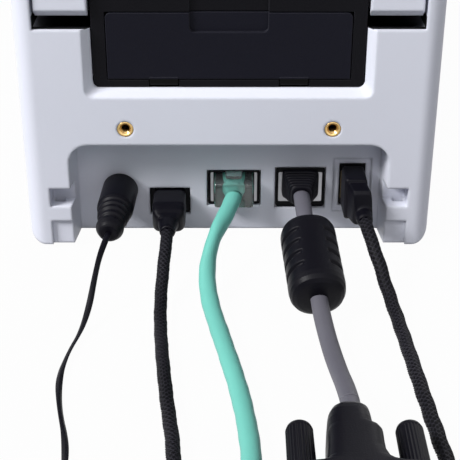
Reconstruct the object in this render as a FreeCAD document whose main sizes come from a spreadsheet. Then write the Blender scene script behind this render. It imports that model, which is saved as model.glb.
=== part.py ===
"""Desktop thermal label printer with its five leads, in millimetres.

The front faces -Y, the connector side faces +Y, +X is right seen from the front, and the feet stand
on z = 0. Every driving size is a cell of the Sizes sheet, and the pieces are bound to those cells.
"""
import FreeCAD
import Part
import Sketcher
import math
import os
import re

SIZES = {
    # Whole printer
    "body_width": 119, "body_depth": 205, "body_height": 155, "foot_height": 1.5, "foot_radius": 6,
    # Lower case: walls, cheeks beside the lid, and the sloping front
    "case_wall": 3, "cheek_thick": 5.6, "edge_round": 5, "cheek_round": 16, "front_wall_top": 47,
    "front_lean": 12.5, "cheek_front": 88, "cheek_peak": 120, "cheek_peak_back": 28, "cheek_rear": 108,
    "rear_wall_top": 68.5,
    # Clearances: fixed neighbours, moving neighbours, a shaft in its bore
    "seat_gap": 0.3, "move_gap": 0.5, "run_gap": 0.05,
    # Connector bay in the rear wall
    "bay_side": 13, "bay_depth": 10, "bay_draft": 1.3, "bay_top": 34.2, "bay_round": 6, "bay_skin": 2.5,
    # Cable-tie anchors beside the bay
    "anchor_wide": 6, "anchor_depth": 6, "notch_depth": 1.8, "pocket_low": 14.1, "pocket_high": 20.1,
    "bar_low": 9.4,
    "tie_hole_side": 2.1, "tie_hole_wide": 3.2, "tie_hole_depth": 2.2,
    # Threaded brass inserts
    "insert_spacing": 59, "insert_height": 39, "insert_radius": 2.35, "insert_bore": 1.25,
    "insert_length": 5.7, "insert_boss": 4.5,
    # Black rear panel with the feed door for folded paper
    "panel_side": 15.7, "panel_bottom": 50.8, "panel_top": 95, "panel_face": 2.6, "panel_thick": 3.2,
    "panel_bevel": 2.4, "panel_round": 1.2, "bevel_round": 3.4,
    "door_side": 4.3, "door_bottom": 53.4, "door_top": 72.6, "door_thick": 2.2,
    "door_lip": 0.35, "door_axis_out": 0.3, "door_proud": 0.2, "door_gap": 0.3, "door_round": 1.5,
    "notch_half": 10.9,
    "notch_bottom": 67, "notch_depth": 1, "notch_over": 7, "knuckle_in": 14.3, "knuckle_out": 22.2,
    "knuckle_radius": 1, "door_pin_radius": 0.5, "door_pin_reach": 1.6, "door_axis_height": 52.3,
    "feed_side": 2.4, "feed_low": 55, "feed_high": 71,
    # Ports: centre, width and height of each opening in the bay wall
    "dc_in": 14, "dc_z": 15.6, "dc_hole_radius": 4.2,
    "usb_b_shift": 2.275, "usb_b_z": 10.9, "usb_b_w": 12.2, "usb_b_h": 8.9,
    "lan_x": -1.45, "lan_z": 15.3, "lan_w": 16.2, "lan_h": 12,
    "serial_shift": 2.225, "serial_z": 15.35, "serial_w": 15.2, "serial_h": 13.7,
    "usb_a_in": 9.6, "usb_a_z": 16.25, "usb_a_w": 7.75, "usb_a_h": 14.1,
    "port_frame": 1.8, "port_frame_depth": 0.5, "socket_deep": 16, "socket_skin": 1.6,
    "jack_half": 5, "jack_bore": 3.4,
    # Base plate, board and fasteners
    "plate_thick": 2, "board_side": 11.6, "board_long": 59, "board_back": 13.5, "board_rest": 0.3,
    "board_thick": 1.6, "board_stud": 3, "chip_half": 8, "chip_at": 10, "chip_long": 16, "chip_high": 1.4,
    "can_side": 8, "can_at": 26, "can_radius": 5, "can_high": 12, "screw_side": 6.9,
    "screw_front": 12.5, "screw_rear": 22.5, "screw_head": 2.7,
    "screw_head_high": 1.2, "screw_radius": 1.45, "screw_long": 10, "post_radius": 3.8, "post_top": 16,
    "foot_side": 13.9, "foot_front": 22, "foot_rear": 30,
    # Roll compartment
    "tub_side": 16.2, "tub_wall": 2, "tub_rim": 6, "tub_bottom": 28, "tub_floor": 4, "tub_top": 92,
    "roll_front": 62.5, "roll_rear": 30.5, "duct_floor": 52, "duct_lap": 16, "rim_high": 8, "sole_half": 17,
    "sole_thick": 8, "wing_at": 14, "wing_long": 20, "wing_low": 56, "wing_thick": 3, "tub_post_side": 7.7,
    "tub_post_in": 1.5, "tub_post_radius": 4,
    # Media guides with their racks and pinion
    "guide_side": 5.7, "guide_thick": 2.5, "guide_less": 14, "guide_top": 108, "guide_foot": 5,
    "guide_travel": 18, "rack_module": 1, "rack_teeth": 12, "rack_back": 3, "rack_high": 4.4,
    "pinion_stud": 2,
    # Platen, gear train, motor and their frame
    "platen_back": 26.5, "platen_z": 84, "platen_radius": 7, "platen_side": 5.5, "shaft_radius": 3,
    "bush_radius": 5, "bush_flange": 6.2, "bush_flange_thick": 1, "frame_side": 15.4, "frame_thick": 2,
    "frame_start": 16, "frame_long": 36.5, "frame_top": 92, "gear_module": 0.8, "gear_side": 9.9,
    "gear_thick": 5, "gear_backlash": 0.16, "platen_teeth": 22, "idler_teeth": 40, "pinion_teeth": 14,
    "idler_angle": -63, "pinion_angle": -101, "stud_radius": 2, "motor_side": 35, "motor_long": 22,
    "motor_boss": 9, "motor_shaft": 2, "motor_bore_deep": 10,
    # Front control panel, buttons and tear bar
    "control_top": 88, "control_thick": 3, "button_side": 23.9, "button_z": 68, "button_radius": 5,
    "button_proud": 0.9, "button_flange": 6.2, "button_flange_thick": 1.2, "button_travel": 0.8,
    "light_half": 7, "light_high": 2.4, "light_proud": 0.2, "tear_side": 6.5, "tear_wide": 3.4,
    "tear_thick": 1, "tear_tooth": 1, "tear_count": 32,
    # Lid with its arms, window and inner frame
    "lid_gap": 0.8, "lid_inset": 0.7, "lid_wall": 2.6, "lid_shoulder": 128, "lid_top_back": 28.5,
    "lid_top_start": 84.5, "lid_nose_y": 14.5, "lid_nose_z": 116, "lid_lip_y": 11, "lid_lip_z": 92.5,
    "lid_round": 26, "lid_front_round": 50, "lid_nose_round": 10, "lid_edge_round": 2.4, "skirt_rear": 86,
    "arm_wide": 14.5, "arm_bottom": 71.8, "arm_front": 24.5, "arm_top": 98, "arm_round": 2, "arm_corner": 1.2,
    "slot_front": 32.5, "window_gap": 0.3, "hinge_back": 12.5, "hinge_z": 83, "hinge_radius": 2,
    "hinge_reach": 8.1, "hinge_seat": 4, "frame_bar_front": 17.3, "frame_bar_rear": 45.3,
    "frame_bar_low": 100, "frame_bar_high": 109,
    # Print head on its pivot in the lid
    "head_side": 4, "head_start": 18.5, "head_long": 26.5, "head_low": 91.4, "head_thick": 3.1,
    "ear_wide": 4, "ear_long": 5, "ear_top": 98.5, "pivot_back": 2.5, "pivot_z": 96, "pivot_radius": 1.5,
    "lug_wide": 3, "fin_first": 4, "fin_step": 4, "fin_wide": 1.2, "fin_high": 1.6, "fin_end": 6,
    # Lid releases in the cheeks
    "release_start": 44.5, "release_long": 12, "release_low": 80, "release_high": 88, "release_proud": 0.7,
    "release_arm": 2, "release_deep": 6.9, "release_riser": 2.8, "release_nose": 0.5, "nose_low": 93.6,
    "nose_high": 96.4, "catch_margin": 0.6,
    # Plugs in the ports
    "dc_plug_radius": 5.3, "dc_plug_barrel": 14, "dc_plug_neck": 2.8,
    "dc_plug_collar": 3.2, "dc_plug_collar_long": 3.6, "dc_plug_ribs": 4, "dc_tip_radius": 2.5,
    "dc_tip_long": 8, "dc_plug_stand": 0.6,
    "usb_b_mould_w": 9.7, "usb_b_mould_h": 8.2, "usb_b_mould_long": 12.8, "usb_b_neck_long": 7,
    "usb_b_neck_radius": 2.9, "usb_b_shell_w": 8.2, "usb_b_shell_h": 7.4,
    "lan_plug_w": 11.68, "lan_plug_h": 8, "lan_plug_out": 5.5, "lan_plug_in": 15.5, "lan_latch_w": 5.6,
    "lan_latch_lift": 2.2, "lan_latch_thick": 1.2,
    "boot_w": 11, "boot_h": 9.4, "boot_long": 7.4, "boot_end": 6.2, "boot_lift": 1.2, "boot_ribs": 5,
    "boot_groove": 0.6, "boot_groove_wide": 0.55,
    "serial_tip_w": 9.6, "serial_tip_h": 6.4, "serial_tip_long": 11,
    "usb_a_mould_w": 6.6, "usb_a_mould_h": 13.2, "usb_a_mould_long": 14.3, "usb_a_step": 1.2,
    "usb_a_step_at": 9.5, "usb_a_boot_radius": 2.8, "usb_a_boot_long": 4,
    "usb_a_drop": 2.6, "usb_a_shift": 2.4,
    "usb_a_shell_w": 4.4, "usb_a_shell_h": 11.8, "shell_long": 10.5, "plug_round": 1.4,
    # Pieces on the leads
    "bead_radius": 7.8, "bead_round": 2.4, "bead_groove": 0.6, "bead_groove_wide": 1.2, "bead_grooves": 4,
    "hood_neck_w": 14.4, "hood_neck_long": 25, "hood_w": 31, "hood_long": 11, "hood_high": 15.4,
    "hood_relief_radius": 4.2, "hood_relief_long": 5.5, "dsub_w": 18.6, "dsub_high": 10.6,
    "dsub_long": 6, "dsub_wall": 1, "thumb_spacing": 25, "thumb_radius": 3.2, "thumb_long": 20.3,
    "thumb_screw": 1.4, "thumb_reach": 14,
    "usb_plug_w": 16, "usb_plug_h": 8.4, "usb_plug_long": 24, "usb_shell_w": 12, "usb_shell_h": 4.5,
    "usb_shell_long": 12, "c_plug_w": 11, "c_plug_h": 6.6, "c_plug_long": 22, "c_shell_w": 8.3,
    "c_shell_h": 2.5, "c_shell_long": 6.6, "adapter_w": 40, "adapter_long": 88, "adapter_high": 28,
    "adapter_round": 4, "adapter_relief_long": 8, "adapter_relief_radius": 3.2, "inlet_w": 20,
    "inlet_high": 9, "inlet_deep": 8, "inlet_pin": 1.2,
    # Leads: diameters
    "dc_lead_d": 1.8, "usb_b_lead_d": 3.4, "lan_lead_d": 4.8, "serial_lead_d": 4.4, "usb_a_lead_d": 3.6,
    # Coils: gap between turns, inner radius, and the run from a coil down to its plug
    "coil_gap": 0.6, "dc_coil_inner": 7, "usb_b_coil_inner": 12, "usb_b_tail": 14, "usb_b_tail_drop": 1.3,
    "lan_coil_inner": 18.5, "lan_tail": 22, "lan_tail_drop": 3.5, "usb_a_coil_inner": 10.8, "usb_a_tail": 18,
    "usb_a_tail_drop": 2.2,
}

# Places and sizes that follow from the sheet's sizes
TIED = {
    "inside": "body_width / 2 - cheek_thick",
    "bay_half": "body_width / 2 - bay_side",
    "anchor_outer": "bay_half + anchor_wide",
    "tie_hole_in": "bay_half + tie_hole_side",
    "tie_hole_out": "tie_hole_in + tie_hole_wide",
    "panel_half": "inside - panel_side",
    "door_half": "panel_half - door_side",
    "feed_half": "door_half - feed_side",
    "dc_x": "bay_half - dc_in",
    "usb_a_x": "usb_a_in - bay_half",
    "usb_b_x": "(dc_x + lan_x) / 2 + usb_b_shift",
    "serial_x": "(lan_x + usb_a_x) / 2 - serial_shift",
    "board_half": "inside - board_side",
    "board_rear": "body_depth / 2 - board_back",
    "board_front": "board_rear - board_long",
    "screw_x": "inside - screw_side",
    "foot_x": "inside - foot_side",
    "tub_half": "inside - tub_side",
    "roll_y": "(roll_front - roll_rear) / 2",
    "roll_radius": "(body_depth - roll_front - roll_rear) / 2",
    "roll_z": "tub_bottom + tub_floor + roll_radius",
    "tub_front": "roll_y - roll_radius - tub_rim",
    "tub_rear": "roll_y + roll_radius + tub_rim",
    "wing_front": "roll_y + wing_at",
    "wing_rear": "roll_y + wing_at + wing_long",
    "tub_post_x": "tub_half - tub_post_side",
    "tub_post_y": "roll_y - roll_radius - tub_post_in",
    "guide_x": "tub_half - guide_side",
    "guide_radius": "roll_radius - guide_less",
    "frame_half": "inside - frame_side",
    "frame_front": "frame_start - body_depth / 2",
    "frame_rear": "frame_front + frame_long",
    "platen_y": "platen_back - body_depth / 2",
    "platen_half": "frame_half - platen_side",
    "gear_x": "inside - gear_side",
    "button_x": "inside - button_side",
    "tear_half": "frame_half - tear_side",
    "lid_top_front": "lid_top_start - body_depth / 2",
    "arm_in": "inside - lid_gap - arm_wide",
    "hinge_in": "inside - lid_gap - hinge_reach",
    "head_half": "frame_half - head_side",
    "head_front": "head_start - body_depth / 2",
    "head_rear": "head_front + head_long",
    "ear_front": "head_rear - ear_long",
    "pivot_y": "head_rear - pivot_back",
    "release_front": "release_start - body_depth / 2",
    "release_rear": "release_front + release_long",
    "release_in": "inside - release_deep",
}

doc = FreeCAD.newDocument("LabelPrinter")
sheet = doc.addObject("Spreadsheet::Sheet", "Sizes")
for row, (alias, number) in enumerate(SIZES.items(), start=1):
    sheet.set("A%d" % row, alias)
    sheet.set("B%d" % row, str(number))
    sheet.setAlias("B%d" % row, alias)
doc.recompute()

X_AXIS = FreeCAD.Vector(1, 0, 0)
Y_AXIS = FreeCAD.Vector(0, 1, 0)
Z_AXIS = FreeCAD.Vector(0, 0, 1)
AXES = {"x": X_AXIS, "y": Y_AXIS, "z": Z_AXIS}
LAY = {"x": FreeCAD.Rotation(Y_AXIS, 90), "y": FreeCAD.Rotation(X_AXIS, -90), "z": FreeCAD.Rotation()}
SAME = 1e-4

nodes = []


# Helpers that bind a piece to the sheet
def bound(text):
    """Write out the tied names in an expression, and the sheet's name before every size."""
    def word(found):
        name = found[0]
        if name in TIED:
            return "(" + bound(TIED[name]) + ")"
        return "Sizes." + name if name in SIZES else name
    return re.sub(r"[a-z][a-z_]*", word, str(text))


def value(text):
    """The number that an expression of sizes comes to."""
    return float(sheet.evalExpression(bound(text)))


def bind(item, **properties):
    """Tie properties of an object to expressions of sizes."""
    for name, text in properties.items():
        item.setExpression(name, bound(text))


def place(item, at, turn=None):
    """Put an object's origin at three expressions, turned if need be."""
    if turn:
        item.Placement = FreeCAD.Placement(FreeCAD.Vector(), turn)
    for axis, text in zip("xyz", at):
        item.setExpression("Placement.Base." + axis, bound(text))
    return item


def box(low, high):
    """A box between two corners."""
    item = doc.addObject("Part::Box", "Block")
    sizes = ["(%s) - (%s)" % (top, bottom) for bottom, top in zip(low, high)]
    bind(item, Length=sizes[0], Width=sizes[1], Height=sizes[2])
    return place(item, low)


def rod(axis, start, radius, length):
    """A cylinder along an axis from the centre of its first face."""
    item = doc.addObject("Part::Cylinder", "Rod")
    bind(item, Radius=radius, Height=length)
    return place(item, start, LAY[axis])


def cone(axis, start, radius, end_radius, length):
    """A cone along an axis from the centre of its first face."""
    item = doc.addObject("Part::Cone", "Taper")
    bind(item, Radius1=radius, Radius2=end_radius, Height=length)
    return place(item, start, LAY[axis])


def wedge(near_y, far_y, near, far):
    """A block that widens along Y: near and far give low x, high x, low z and high z."""
    item = doc.addObject("Part::Wedge", "Wedge")
    bind(item, Ymin=near_y, Ymax=far_y, Xmin=near[0], Xmax=near[1], Zmin=near[2], Zmax=near[3])
    bind(item, X2min=far[0], X2max=far[1], Z2min=far[2], Z2max=far[3])
    return item


def joined(*items):
    """One solid out of pieces that meet."""
    item = doc.addObject("Part::MultiFuse", "Joined")
    item.Shapes = list(items)
    item.Refine = True
    return item


def grouped(*items):
    """Separate solids under one name."""
    item = doc.addObject("Part::Compound", "Group")
    item.Links = list(items)
    return item


def without(base, *tools):
    """A solid with others taken out of it."""
    item = doc.addObject("Part::Cut", "Cut")
    item.Base = base
    item.Tool = tools[0] if len(tools) == 1 else joined(*tools)
    item.Refine = True
    return item


def shared(base, tool):
    """What two solids have in common."""
    item = doc.addObject("Part::Common", "Shared")
    item.Base = base
    item.Tool = tool
    return item


def mirrored(source):
    """The same piece on the other side of the middle plane."""
    item = doc.addObject("Part::Mirroring", "Mirror")
    item.Source = source
    item.Normal = X_AXIS
    return item


def both(source):
    """A piece and its mirror image."""
    return [source, mirrored(source)]


def rounded(base, *rounds):
    """Round the edges that each pick chooses, by its radius."""
    doc.recompute()
    edges = []
    for radius, pick in rounds:
        size = value(radius)
        for index, edge in enumerate(base.Shape.Edges, start=1):
            if pick(edge):
                edges.append((index, size, size))
    item = doc.addObject("Part::Fillet", "Rounded")
    item.Base = base
    item.Edges = edges
    return item


def runs(axis):
    """Pick the straight edges along an axis."""
    def pick(edge):
        return abs(edge.tangentAt(edge.FirstParameter).dot(AXES[axis])) > 1 - SAME
    return pick


def corner(y_text, z_text):
    """Pick the edge along X through a point of a side profile."""
    place_y, place_z = value(y_text), value(z_text)

    def pick(edge):
        limits = edge.BoundBox
        here = abs(limits.Center.y - place_y) < SAME and abs(limits.Center.z - place_z) < SAME
        return here and limits.XLength > 1
    return pick


def side_loop(half_text):
    """Pick the edges round the two faces at x = half and x = -half."""
    half = value(half_text)

    def pick(edge):
        limits = edge.BoundBox
        return limits.XLength < SAME and abs(abs(limits.Center.x) - half) < SAME
    return pick


def low_corners(level):
    """Pick the edges that run towards +Y from the lower corners of a block."""
    height = value(level)

    def pick(edge):
        limits = edge.BoundBox
        return limits.YLength > 1 and limits.ZMin < height + SAME and limits.ZLength < limits.YLength + 1
    return pick


def block(low, high, radius, axis="y"):
    """A box with the edges along one axis rounded."""
    return rounded(box(low, high), (radius, runs(axis)))


def sketched(plane, points):
    """A body with a closed sketch whose corners are bound to expressions."""
    body = doc.addObject("PartDesign::Body", "Body")
    sketch = body.newObject("Sketcher::SketchObject", "Outline")
    support = [feature for feature in body.Origin.OriginFeatures if feature.Role == plane][0]
    sketch.AttachmentSupport = [(support, "")]
    sketch.MapMode = "FlatFace"
    places = [FreeCAD.Vector(value(u), value(v), 0) for u, v in points]
    count = len(places)
    for index in range(count):
        sketch.addGeometry(Part.LineSegment(places[index], places[(index + 1) % count]))
    for index in range(count):
        sketch.addConstraint(Sketcher.Constraint("Coincident", index, 2, (index + 1) % count, 1))
    for index, (u, v) in enumerate(points):
        across = Sketcher.Constraint("DistanceX", -1, 1, index, 1, places[index].x)
        sketch.setExpression("Constraints[%d]" % sketch.addConstraint(across), bound(u))
        upward = Sketcher.Constraint("DistanceY", -1, 1, index, 1, places[index].y)
        sketch.setExpression("Constraints[%d]" % sketch.addConstraint(upward), bound(v))
    return body, sketch


def profile(points, width):
    """A side profile of (y, z) corners, padded both ways from the middle plane."""
    body, sketch = sketched("YZ_Plane", points)
    pad = body.newObject("PartDesign::Pad", "Width")
    pad.Profile = sketch
    pad.SideType = "Symmetric"
    bind(pad, Length=width)
    body.Tip = pad
    return body


def turned(points):
    """A profile of (radius, height) corners turned about its own Z axis."""
    body, sketch = sketched("XZ_Plane", points)
    spin = body.newObject("PartDesign::Revolution", "Turned")
    spin.Profile = sketch
    spin.ReferenceAxis = (sketch, ["V_Axis"])
    spin.Angle = 360
    body.Tip = spin
    return body


def node(name, item):
    """Name a finished sub-part."""
    item.Label = name
    nodes.append(item)
    return item


# Places that several pieces share
FRONT = "(-body_depth / 2)"
REAR = "(body_depth / 2)"
INSIDE = "(body_width / 2 - cheek_thick)"
BAY_WALL = "(body_depth / 2 - bay_depth)"
BAY_BACK = "(body_depth / 2 - bay_depth - bay_skin)"
PLATE_TOP = "(foot_height + plate_thick)"
BOARD_TOP = "(foot_height + plate_thick + board_rest + board_thick)"
PANEL_FACE = "(body_depth / 2 - panel_face)"
LID_HALF = "(body_width / 2 - cheek_thick - lid_gap)"
LID_REAR = "(body_depth / 2 - lid_inset)"
HINGE_Y = "(body_depth / 2 - hinge_back)"
DOOR_AXIS_Y = "(body_depth / 2 - panel_face - knuckle_radius + door_axis_out)"
PORTS = ["usb_b", "lan", "serial", "usb_a"]


# Lower case: side cheeks, rear wall with the connector bay, front wall
def port_hole(port):
    """The opening of one port in the bay wall."""
    across = (port + "_x - " + port + "_w / 2", port + "_x + " + port + "_w / 2")
    upward = (port + "_z - " + port + "_h / 2", port + "_z + " + port + "_h / 2")
    return box((across[0], BAY_BACK + " - 1", upward[0]), (across[1], BAY_WALL + " + 1", upward[1]))


def tie_anchor():
    """The pockets above and below a tie bar at one side of the bay, and the hole behind the bar."""
    inner = "bay_half - bay_draft - 1"
    deep = REAR + " - anchor_depth"
    past = REAR + " + 1"
    pocket = box((inner, deep, "pocket_low"), ("anchor_outer", past, "pocket_high"))
    notch = box((inner, REAR + " - notch_depth", "foot_height - 1"), ("anchor_outer", past, "bar_low"))
    hole = box(("tie_hole_in", deep, "foot_height"),
               ("tie_hole_out", deep + " + tie_hole_depth", "pocket_high"))
    return joined(pocket, notch, hole)


def screw_places():
    """Where the base screws and their posts stand, on the +X side."""
    return [FRONT + " + screw_front", REAR + " - screw_rear"]


def lower_case():
    outline = [
        (FRONT, "foot_height"), (FRONT, "front_wall_top"), (FRONT + " + front_lean", "cheek_front"),
        (REAR + " - cheek_peak_back", "cheek_peak"), (REAR, "cheek_rear"), (REAR, "foot_height"),
    ]
    solid = rounded(profile(outline, "body_width"),
                    *[("cheek_round", corner(*outline[index])) for index in (2, 3, 4)])
    solid = rounded(solid, ("edge_round", side_loop("body_width / 2")))
    room = box(("-" + INSIDE, FRONT + " + case_wall", "0"), (INSIDE, REAR + " - case_wall", "body_height"))
    front_gap = box(("-" + INSIDE, FRONT + " - 1", "front_wall_top"), (INSIDE, "0", "body_height"))
    rear_gap = box(("-" + INSIDE, "0", "rear_wall_top"), (INSIDE, REAR + " + 1", "body_height"))
    shell = without(solid, room, front_gap, rear_gap)

    bay = box(("-" + INSIDE + " - 0.5", BAY_BACK, "foot_height"),
              (INSIDE + " + 0.5", REAR + " - 1", "bay_top + bay_skin"))
    bosses = both(rod("y", ("insert_spacing / 2", REAR + " - insert_length - 2", "insert_height"),
                      "insert_boss", "insert_length + 1"))
    posts = []
    for place_y in screw_places():
        post = rod("z", ("screw_x", place_y, PLATE_TOP), "post_radius", "post_top - " + PLATE_TOP)
        rib = box(("screw_x", place_y + " - post_radius / 2", PLATE_TOP),
                  (INSIDE + " + 0.5", place_y + " + post_radius / 2", "post_top"))
        posts += both(post) + both(rib)
    shell = joined(shell, bay, *bosses, *posts)

    mouth = ("-bay_half", "bay_half", "-1", "bay_top")
    back = ("-bay_half + bay_draft", "bay_half - bay_draft", "-1", "bay_top - bay_draft")
    recess = rounded(wedge(BAY_WALL, REAR + " + bay_draft", back, mouth),
                     ("bay_round", lambda edge: edge.BoundBox.YLength > 1 and edge.BoundBox.ZMin > 1))
    window = wedge(REAR + " - case_wall - 1", REAR + " - panel_bevel",
                   ("-panel_half", "panel_half", "panel_bottom", "body_height"),
                   ("-panel_half", "panel_half", "panel_bottom", "body_height"))
    bevel = wedge(REAR + " - panel_bevel", REAR + " + 0.1",
                  ("-panel_half", "panel_half", "panel_bottom", "body_height"),
                  ("-panel_half - panel_bevel", "panel_half + panel_bevel", "panel_bottom - panel_bevel",
                   "body_height"))
    window = rounded(window, ("panel_round", low_corners("panel_bottom")))
    bevel = rounded(bevel, ("bevel_round", low_corners("panel_bottom")))
    frame_hole = box(("usb_a_x - usb_a_w / 2 - port_frame", BAY_WALL + " - port_frame_depth",
                      "usb_a_z - usb_a_h / 2 - port_frame"),
                     ("usb_a_x + usb_a_w / 2 + port_frame", BAY_WALL + " + 1",
                      "usb_a_z + usb_a_h / 2 + port_frame"))
    holes = [port_hole(port) for port in PORTS]
    holes.append(rod("y", ("dc_x", BAY_BACK + " - 1", "dc_z"), "dc_hole_radius", "bay_skin + 2"))
    holes += both(tie_anchor())
    holes += both(rod("y", ("insert_spacing / 2", REAR + " - insert_length", "insert_height"),
                      "insert_radius + run_gap", "insert_length + 1"))
    holes += both(rod("x", (INSIDE + " - 1", HINGE_Y, "hinge_z"), "hinge_radius + run_gap", "hinge_seat + 1"))
    holes += both(box((INSIDE + " - 1", "release_front", "release_low"),
                      ("body_width / 2 + 1", "release_rear", "release_high")))
    for place_y in screw_places():
        holes += both(rod("z", ("screw_x", place_y, "0"), "screw_radius + run_gap", "screw_long + 3"))
    return without(shell, recess, window, bevel, frame_hole, *holes)


def base_plate():
    side = INSIDE + " - seat_gap"
    low = (FRONT + " + case_wall + seat_gap", BAY_BACK + " - seat_gap")
    plate = box(("-(" + side + ")", low[0], "foot_height"), (side, low[1], PLATE_TOP))
    rests = []
    for place_x in ("board_half - 2 * board_stud", "2 * board_stud - board_half"):
        for place_y in ("board_front + 2 * board_stud", "board_rear - 8 * board_stud"):
            rests.append(rod("z", (place_x, place_y, PLATE_TOP + " - 0.5"), "board_stud", "board_rest + 0.5"))
    holes = []
    for place_y in screw_places():
        holes += both(rod("z", ("screw_x", place_y, "0"), "screw_radius + 0.2", "10"))
        holes += both(rod("z", ("screw_x", place_y, "foot_height - 1"), "screw_head + 0.2",
                          "screw_head_high + 1"))
    return without(joined(plate, *rests), *holes)


def base_screws():
    screws = []
    for place_y in screw_places():
        head = rod("z", ("screw_x", place_y, "foot_height"), "screw_head", "screw_head_high")
        shank = rod("z", ("screw_x", place_y, "foot_height + screw_head_high"), "screw_radius", "screw_long")
        drive = box(("screw_x - 1.2", place_y + " - 0.3", "foot_height - 1"),
                    ("screw_x + 1.2", place_y + " + 0.3", "foot_height + 0.6"))
        screws += both(without(joined(head, shank), drive))
    return grouped(*screws)


def rubber_feet():
    feet = []
    for place_y in (FRONT + " + foot_front", REAR + " - foot_rear"):
        feet += both(rod("z", ("foot_x", place_y, "0"), "foot_radius", "foot_height"))
    return grouped(*feet)


def brass_inserts():
    start = ("insert_spacing / 2", REAR + " - insert_length", "insert_height")
    sleeve = rod("y", start, "insert_radius", "insert_length")
    return grouped(*both(without(sleeve, rod("y", start, "insert_bore", "insert_length + 1"))))


# Roll compartment with the rear panel and the feed door
def inner_tub():
    inner = "(tub_half - tub_wall)"
    cradle = rod("x", ("-tub_half", "roll_y", "roll_z"), "roll_radius + tub_wall", "2 * tub_half")
    keep = box(("-tub_half", "tub_front - 50", "0"), ("tub_half", "tub_rear + 50", "tub_top"))
    rim = box(("-tub_half", "tub_front", "tub_top - rim_high"), ("tub_half", "tub_rear", "tub_top"))
    sole = box(("-tub_half", "roll_y - sole_half", "tub_bottom"),
               ("tub_half", "roll_y + sole_half", "tub_bottom + sole_thick"))
    duct = box(("-tub_half", "roll_y + roll_radius - duct_lap", "duct_floor"),
               ("tub_half", PANEL_FACE + " - panel_thick + 0.5", "tub_top"))
    panel_half = "(panel_half - seat_gap)"
    panel = rounded(box(("-" + panel_half, PANEL_FACE + " - panel_thick", "panel_bottom + seat_gap"),
                        (panel_half, PANEL_FACE, "panel_top")),
                    ("panel_round - seat_gap", low_corners("panel_bottom + seat_gap")))
    wings = both(box(("tub_half - 1", "wing_front", "wing_low"),
                     (INSIDE + " - seat_gap", "wing_rear", "wing_low + wing_thick")))
    posts = both(rod("z", ("tub_post_x", "tub_post_y", PLATE_TOP), "tub_post_radius",
                     "tub_top - rim_high + 2 - " + PLATE_TOP))
    stud = rod("z", ("0", "roll_y", "tub_bottom - rack_high - seat_gap - 1"), "pinion_stud",
               "rack_high + 3")
    solid = joined(shared(cradle, keep), rim, sole, duct, panel, stud, *wings, *posts)

    roll = rod("x", ("-" + inner, "roll_y", "roll_z"), "roll_radius", "2 * " + inner)
    above = box(("-" + inner, "roll_y - roll_radius", "roll_z"),
                (inner, "roll_y + roll_radius", "body_height"))
    duct_room = box(("-" + inner, "roll_y + roll_radius / 2", "feed_low"),
                    (inner, PANEL_FACE + " - panel_thick", "body_height"))
    feed = box(("-feed_half", "roll_y + roll_radius", "feed_low"), ("feed_half", REAR, "feed_high"))
    bed = box(("-door_half - door_gap", PANEL_FACE + " + door_proud - door_thick - door_gap",
               "door_bottom - door_lip"), ("door_half + door_gap", REAR, "door_top + door_gap"))
    finger = box(("-notch_half", PANEL_FACE + " - notch_depth", "door_top"),
                 ("notch_half", REAR, "door_top + notch_over"))
    slots = both(box(("knuckle_in - door_gap", PANEL_FACE + " - 2 * knuckle_radius - door_gap",
                      "panel_bottom"), ("knuckle_out + door_gap", REAR, "door_bottom")))
    pins = both(rod("x", ("knuckle_in - door_pin_reach - door_gap", DOOR_AXIS_Y, "door_axis_height"),
                    "door_pin_radius + run_gap",
                    "knuckle_out - knuckle_in + 2 * door_pin_reach + 2 * door_gap"))
    feet = both(box(("guide_x - guide_travel - move_gap", "roll_y - guide_foot - move_gap", "0"),
                    ("guide_x + guide_thick + move_gap", "roll_y + guide_foot + move_gap",
                     "roll_z - roll_radius / 2")))
    return without(solid, roll, above, duct_room, feed, bed, finger, *slots, *pins, *feet)


def rear_door():
    face = PANEL_FACE + " + door_proud"
    upper = value("door_bottom") + 1
    leaf = rounded(box(("-door_half", face + " - door_thick", "door_bottom"),
                       ("door_half", face, "door_top")),
                   ("door_round", lambda edge: runs("y")(edge) and edge.BoundBox.ZMin > upper))
    notch = box(("-notch_half", face + " - notch_depth", "notch_bottom"),
                ("notch_half", REAR + " + 1", "door_top + 1"))
    leaf = without(leaf, rounded(notch, ("door_round", runs("y"))))
    knuckles = []
    for side in both(joined(
            rod("x", ("knuckle_in", DOOR_AXIS_Y, "door_axis_height"), "knuckle_radius",
                "knuckle_out - knuckle_in"),
            box(("knuckle_in", DOOR_AXIS_Y + " - knuckle_radius", "door_axis_height"),
                ("knuckle_out", DOOR_AXIS_Y + " + knuckle_radius", "door_bottom + 0.5")),
            rod("x", ("knuckle_in - door_pin_reach", DOOR_AXIS_Y, "door_axis_height"), "door_pin_radius",
                "knuckle_out - knuckle_in + 2 * door_pin_reach"))):
        knuckles.append(side)
    return joined(leaf, *knuckles)


# Board and the sockets behind the bay wall
def main_board():
    bottom = "(foot_height + plate_thick + board_rest)"
    board = box(("-board_half", "board_front", bottom), ("board_half", "board_rear", BOARD_TOP))
    chip = box(("-chip_half", "board_front + chip_at", BOARD_TOP + " - 0.5"),
               ("chip_half", "board_front + chip_at + chip_long", BOARD_TOP + " + chip_high"))
    can = rod("z", ("board_half - can_side", "board_front + can_at", BOARD_TOP + " - 0.5"), "can_radius",
              "can_high")
    return joined(board, chip, can)


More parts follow.
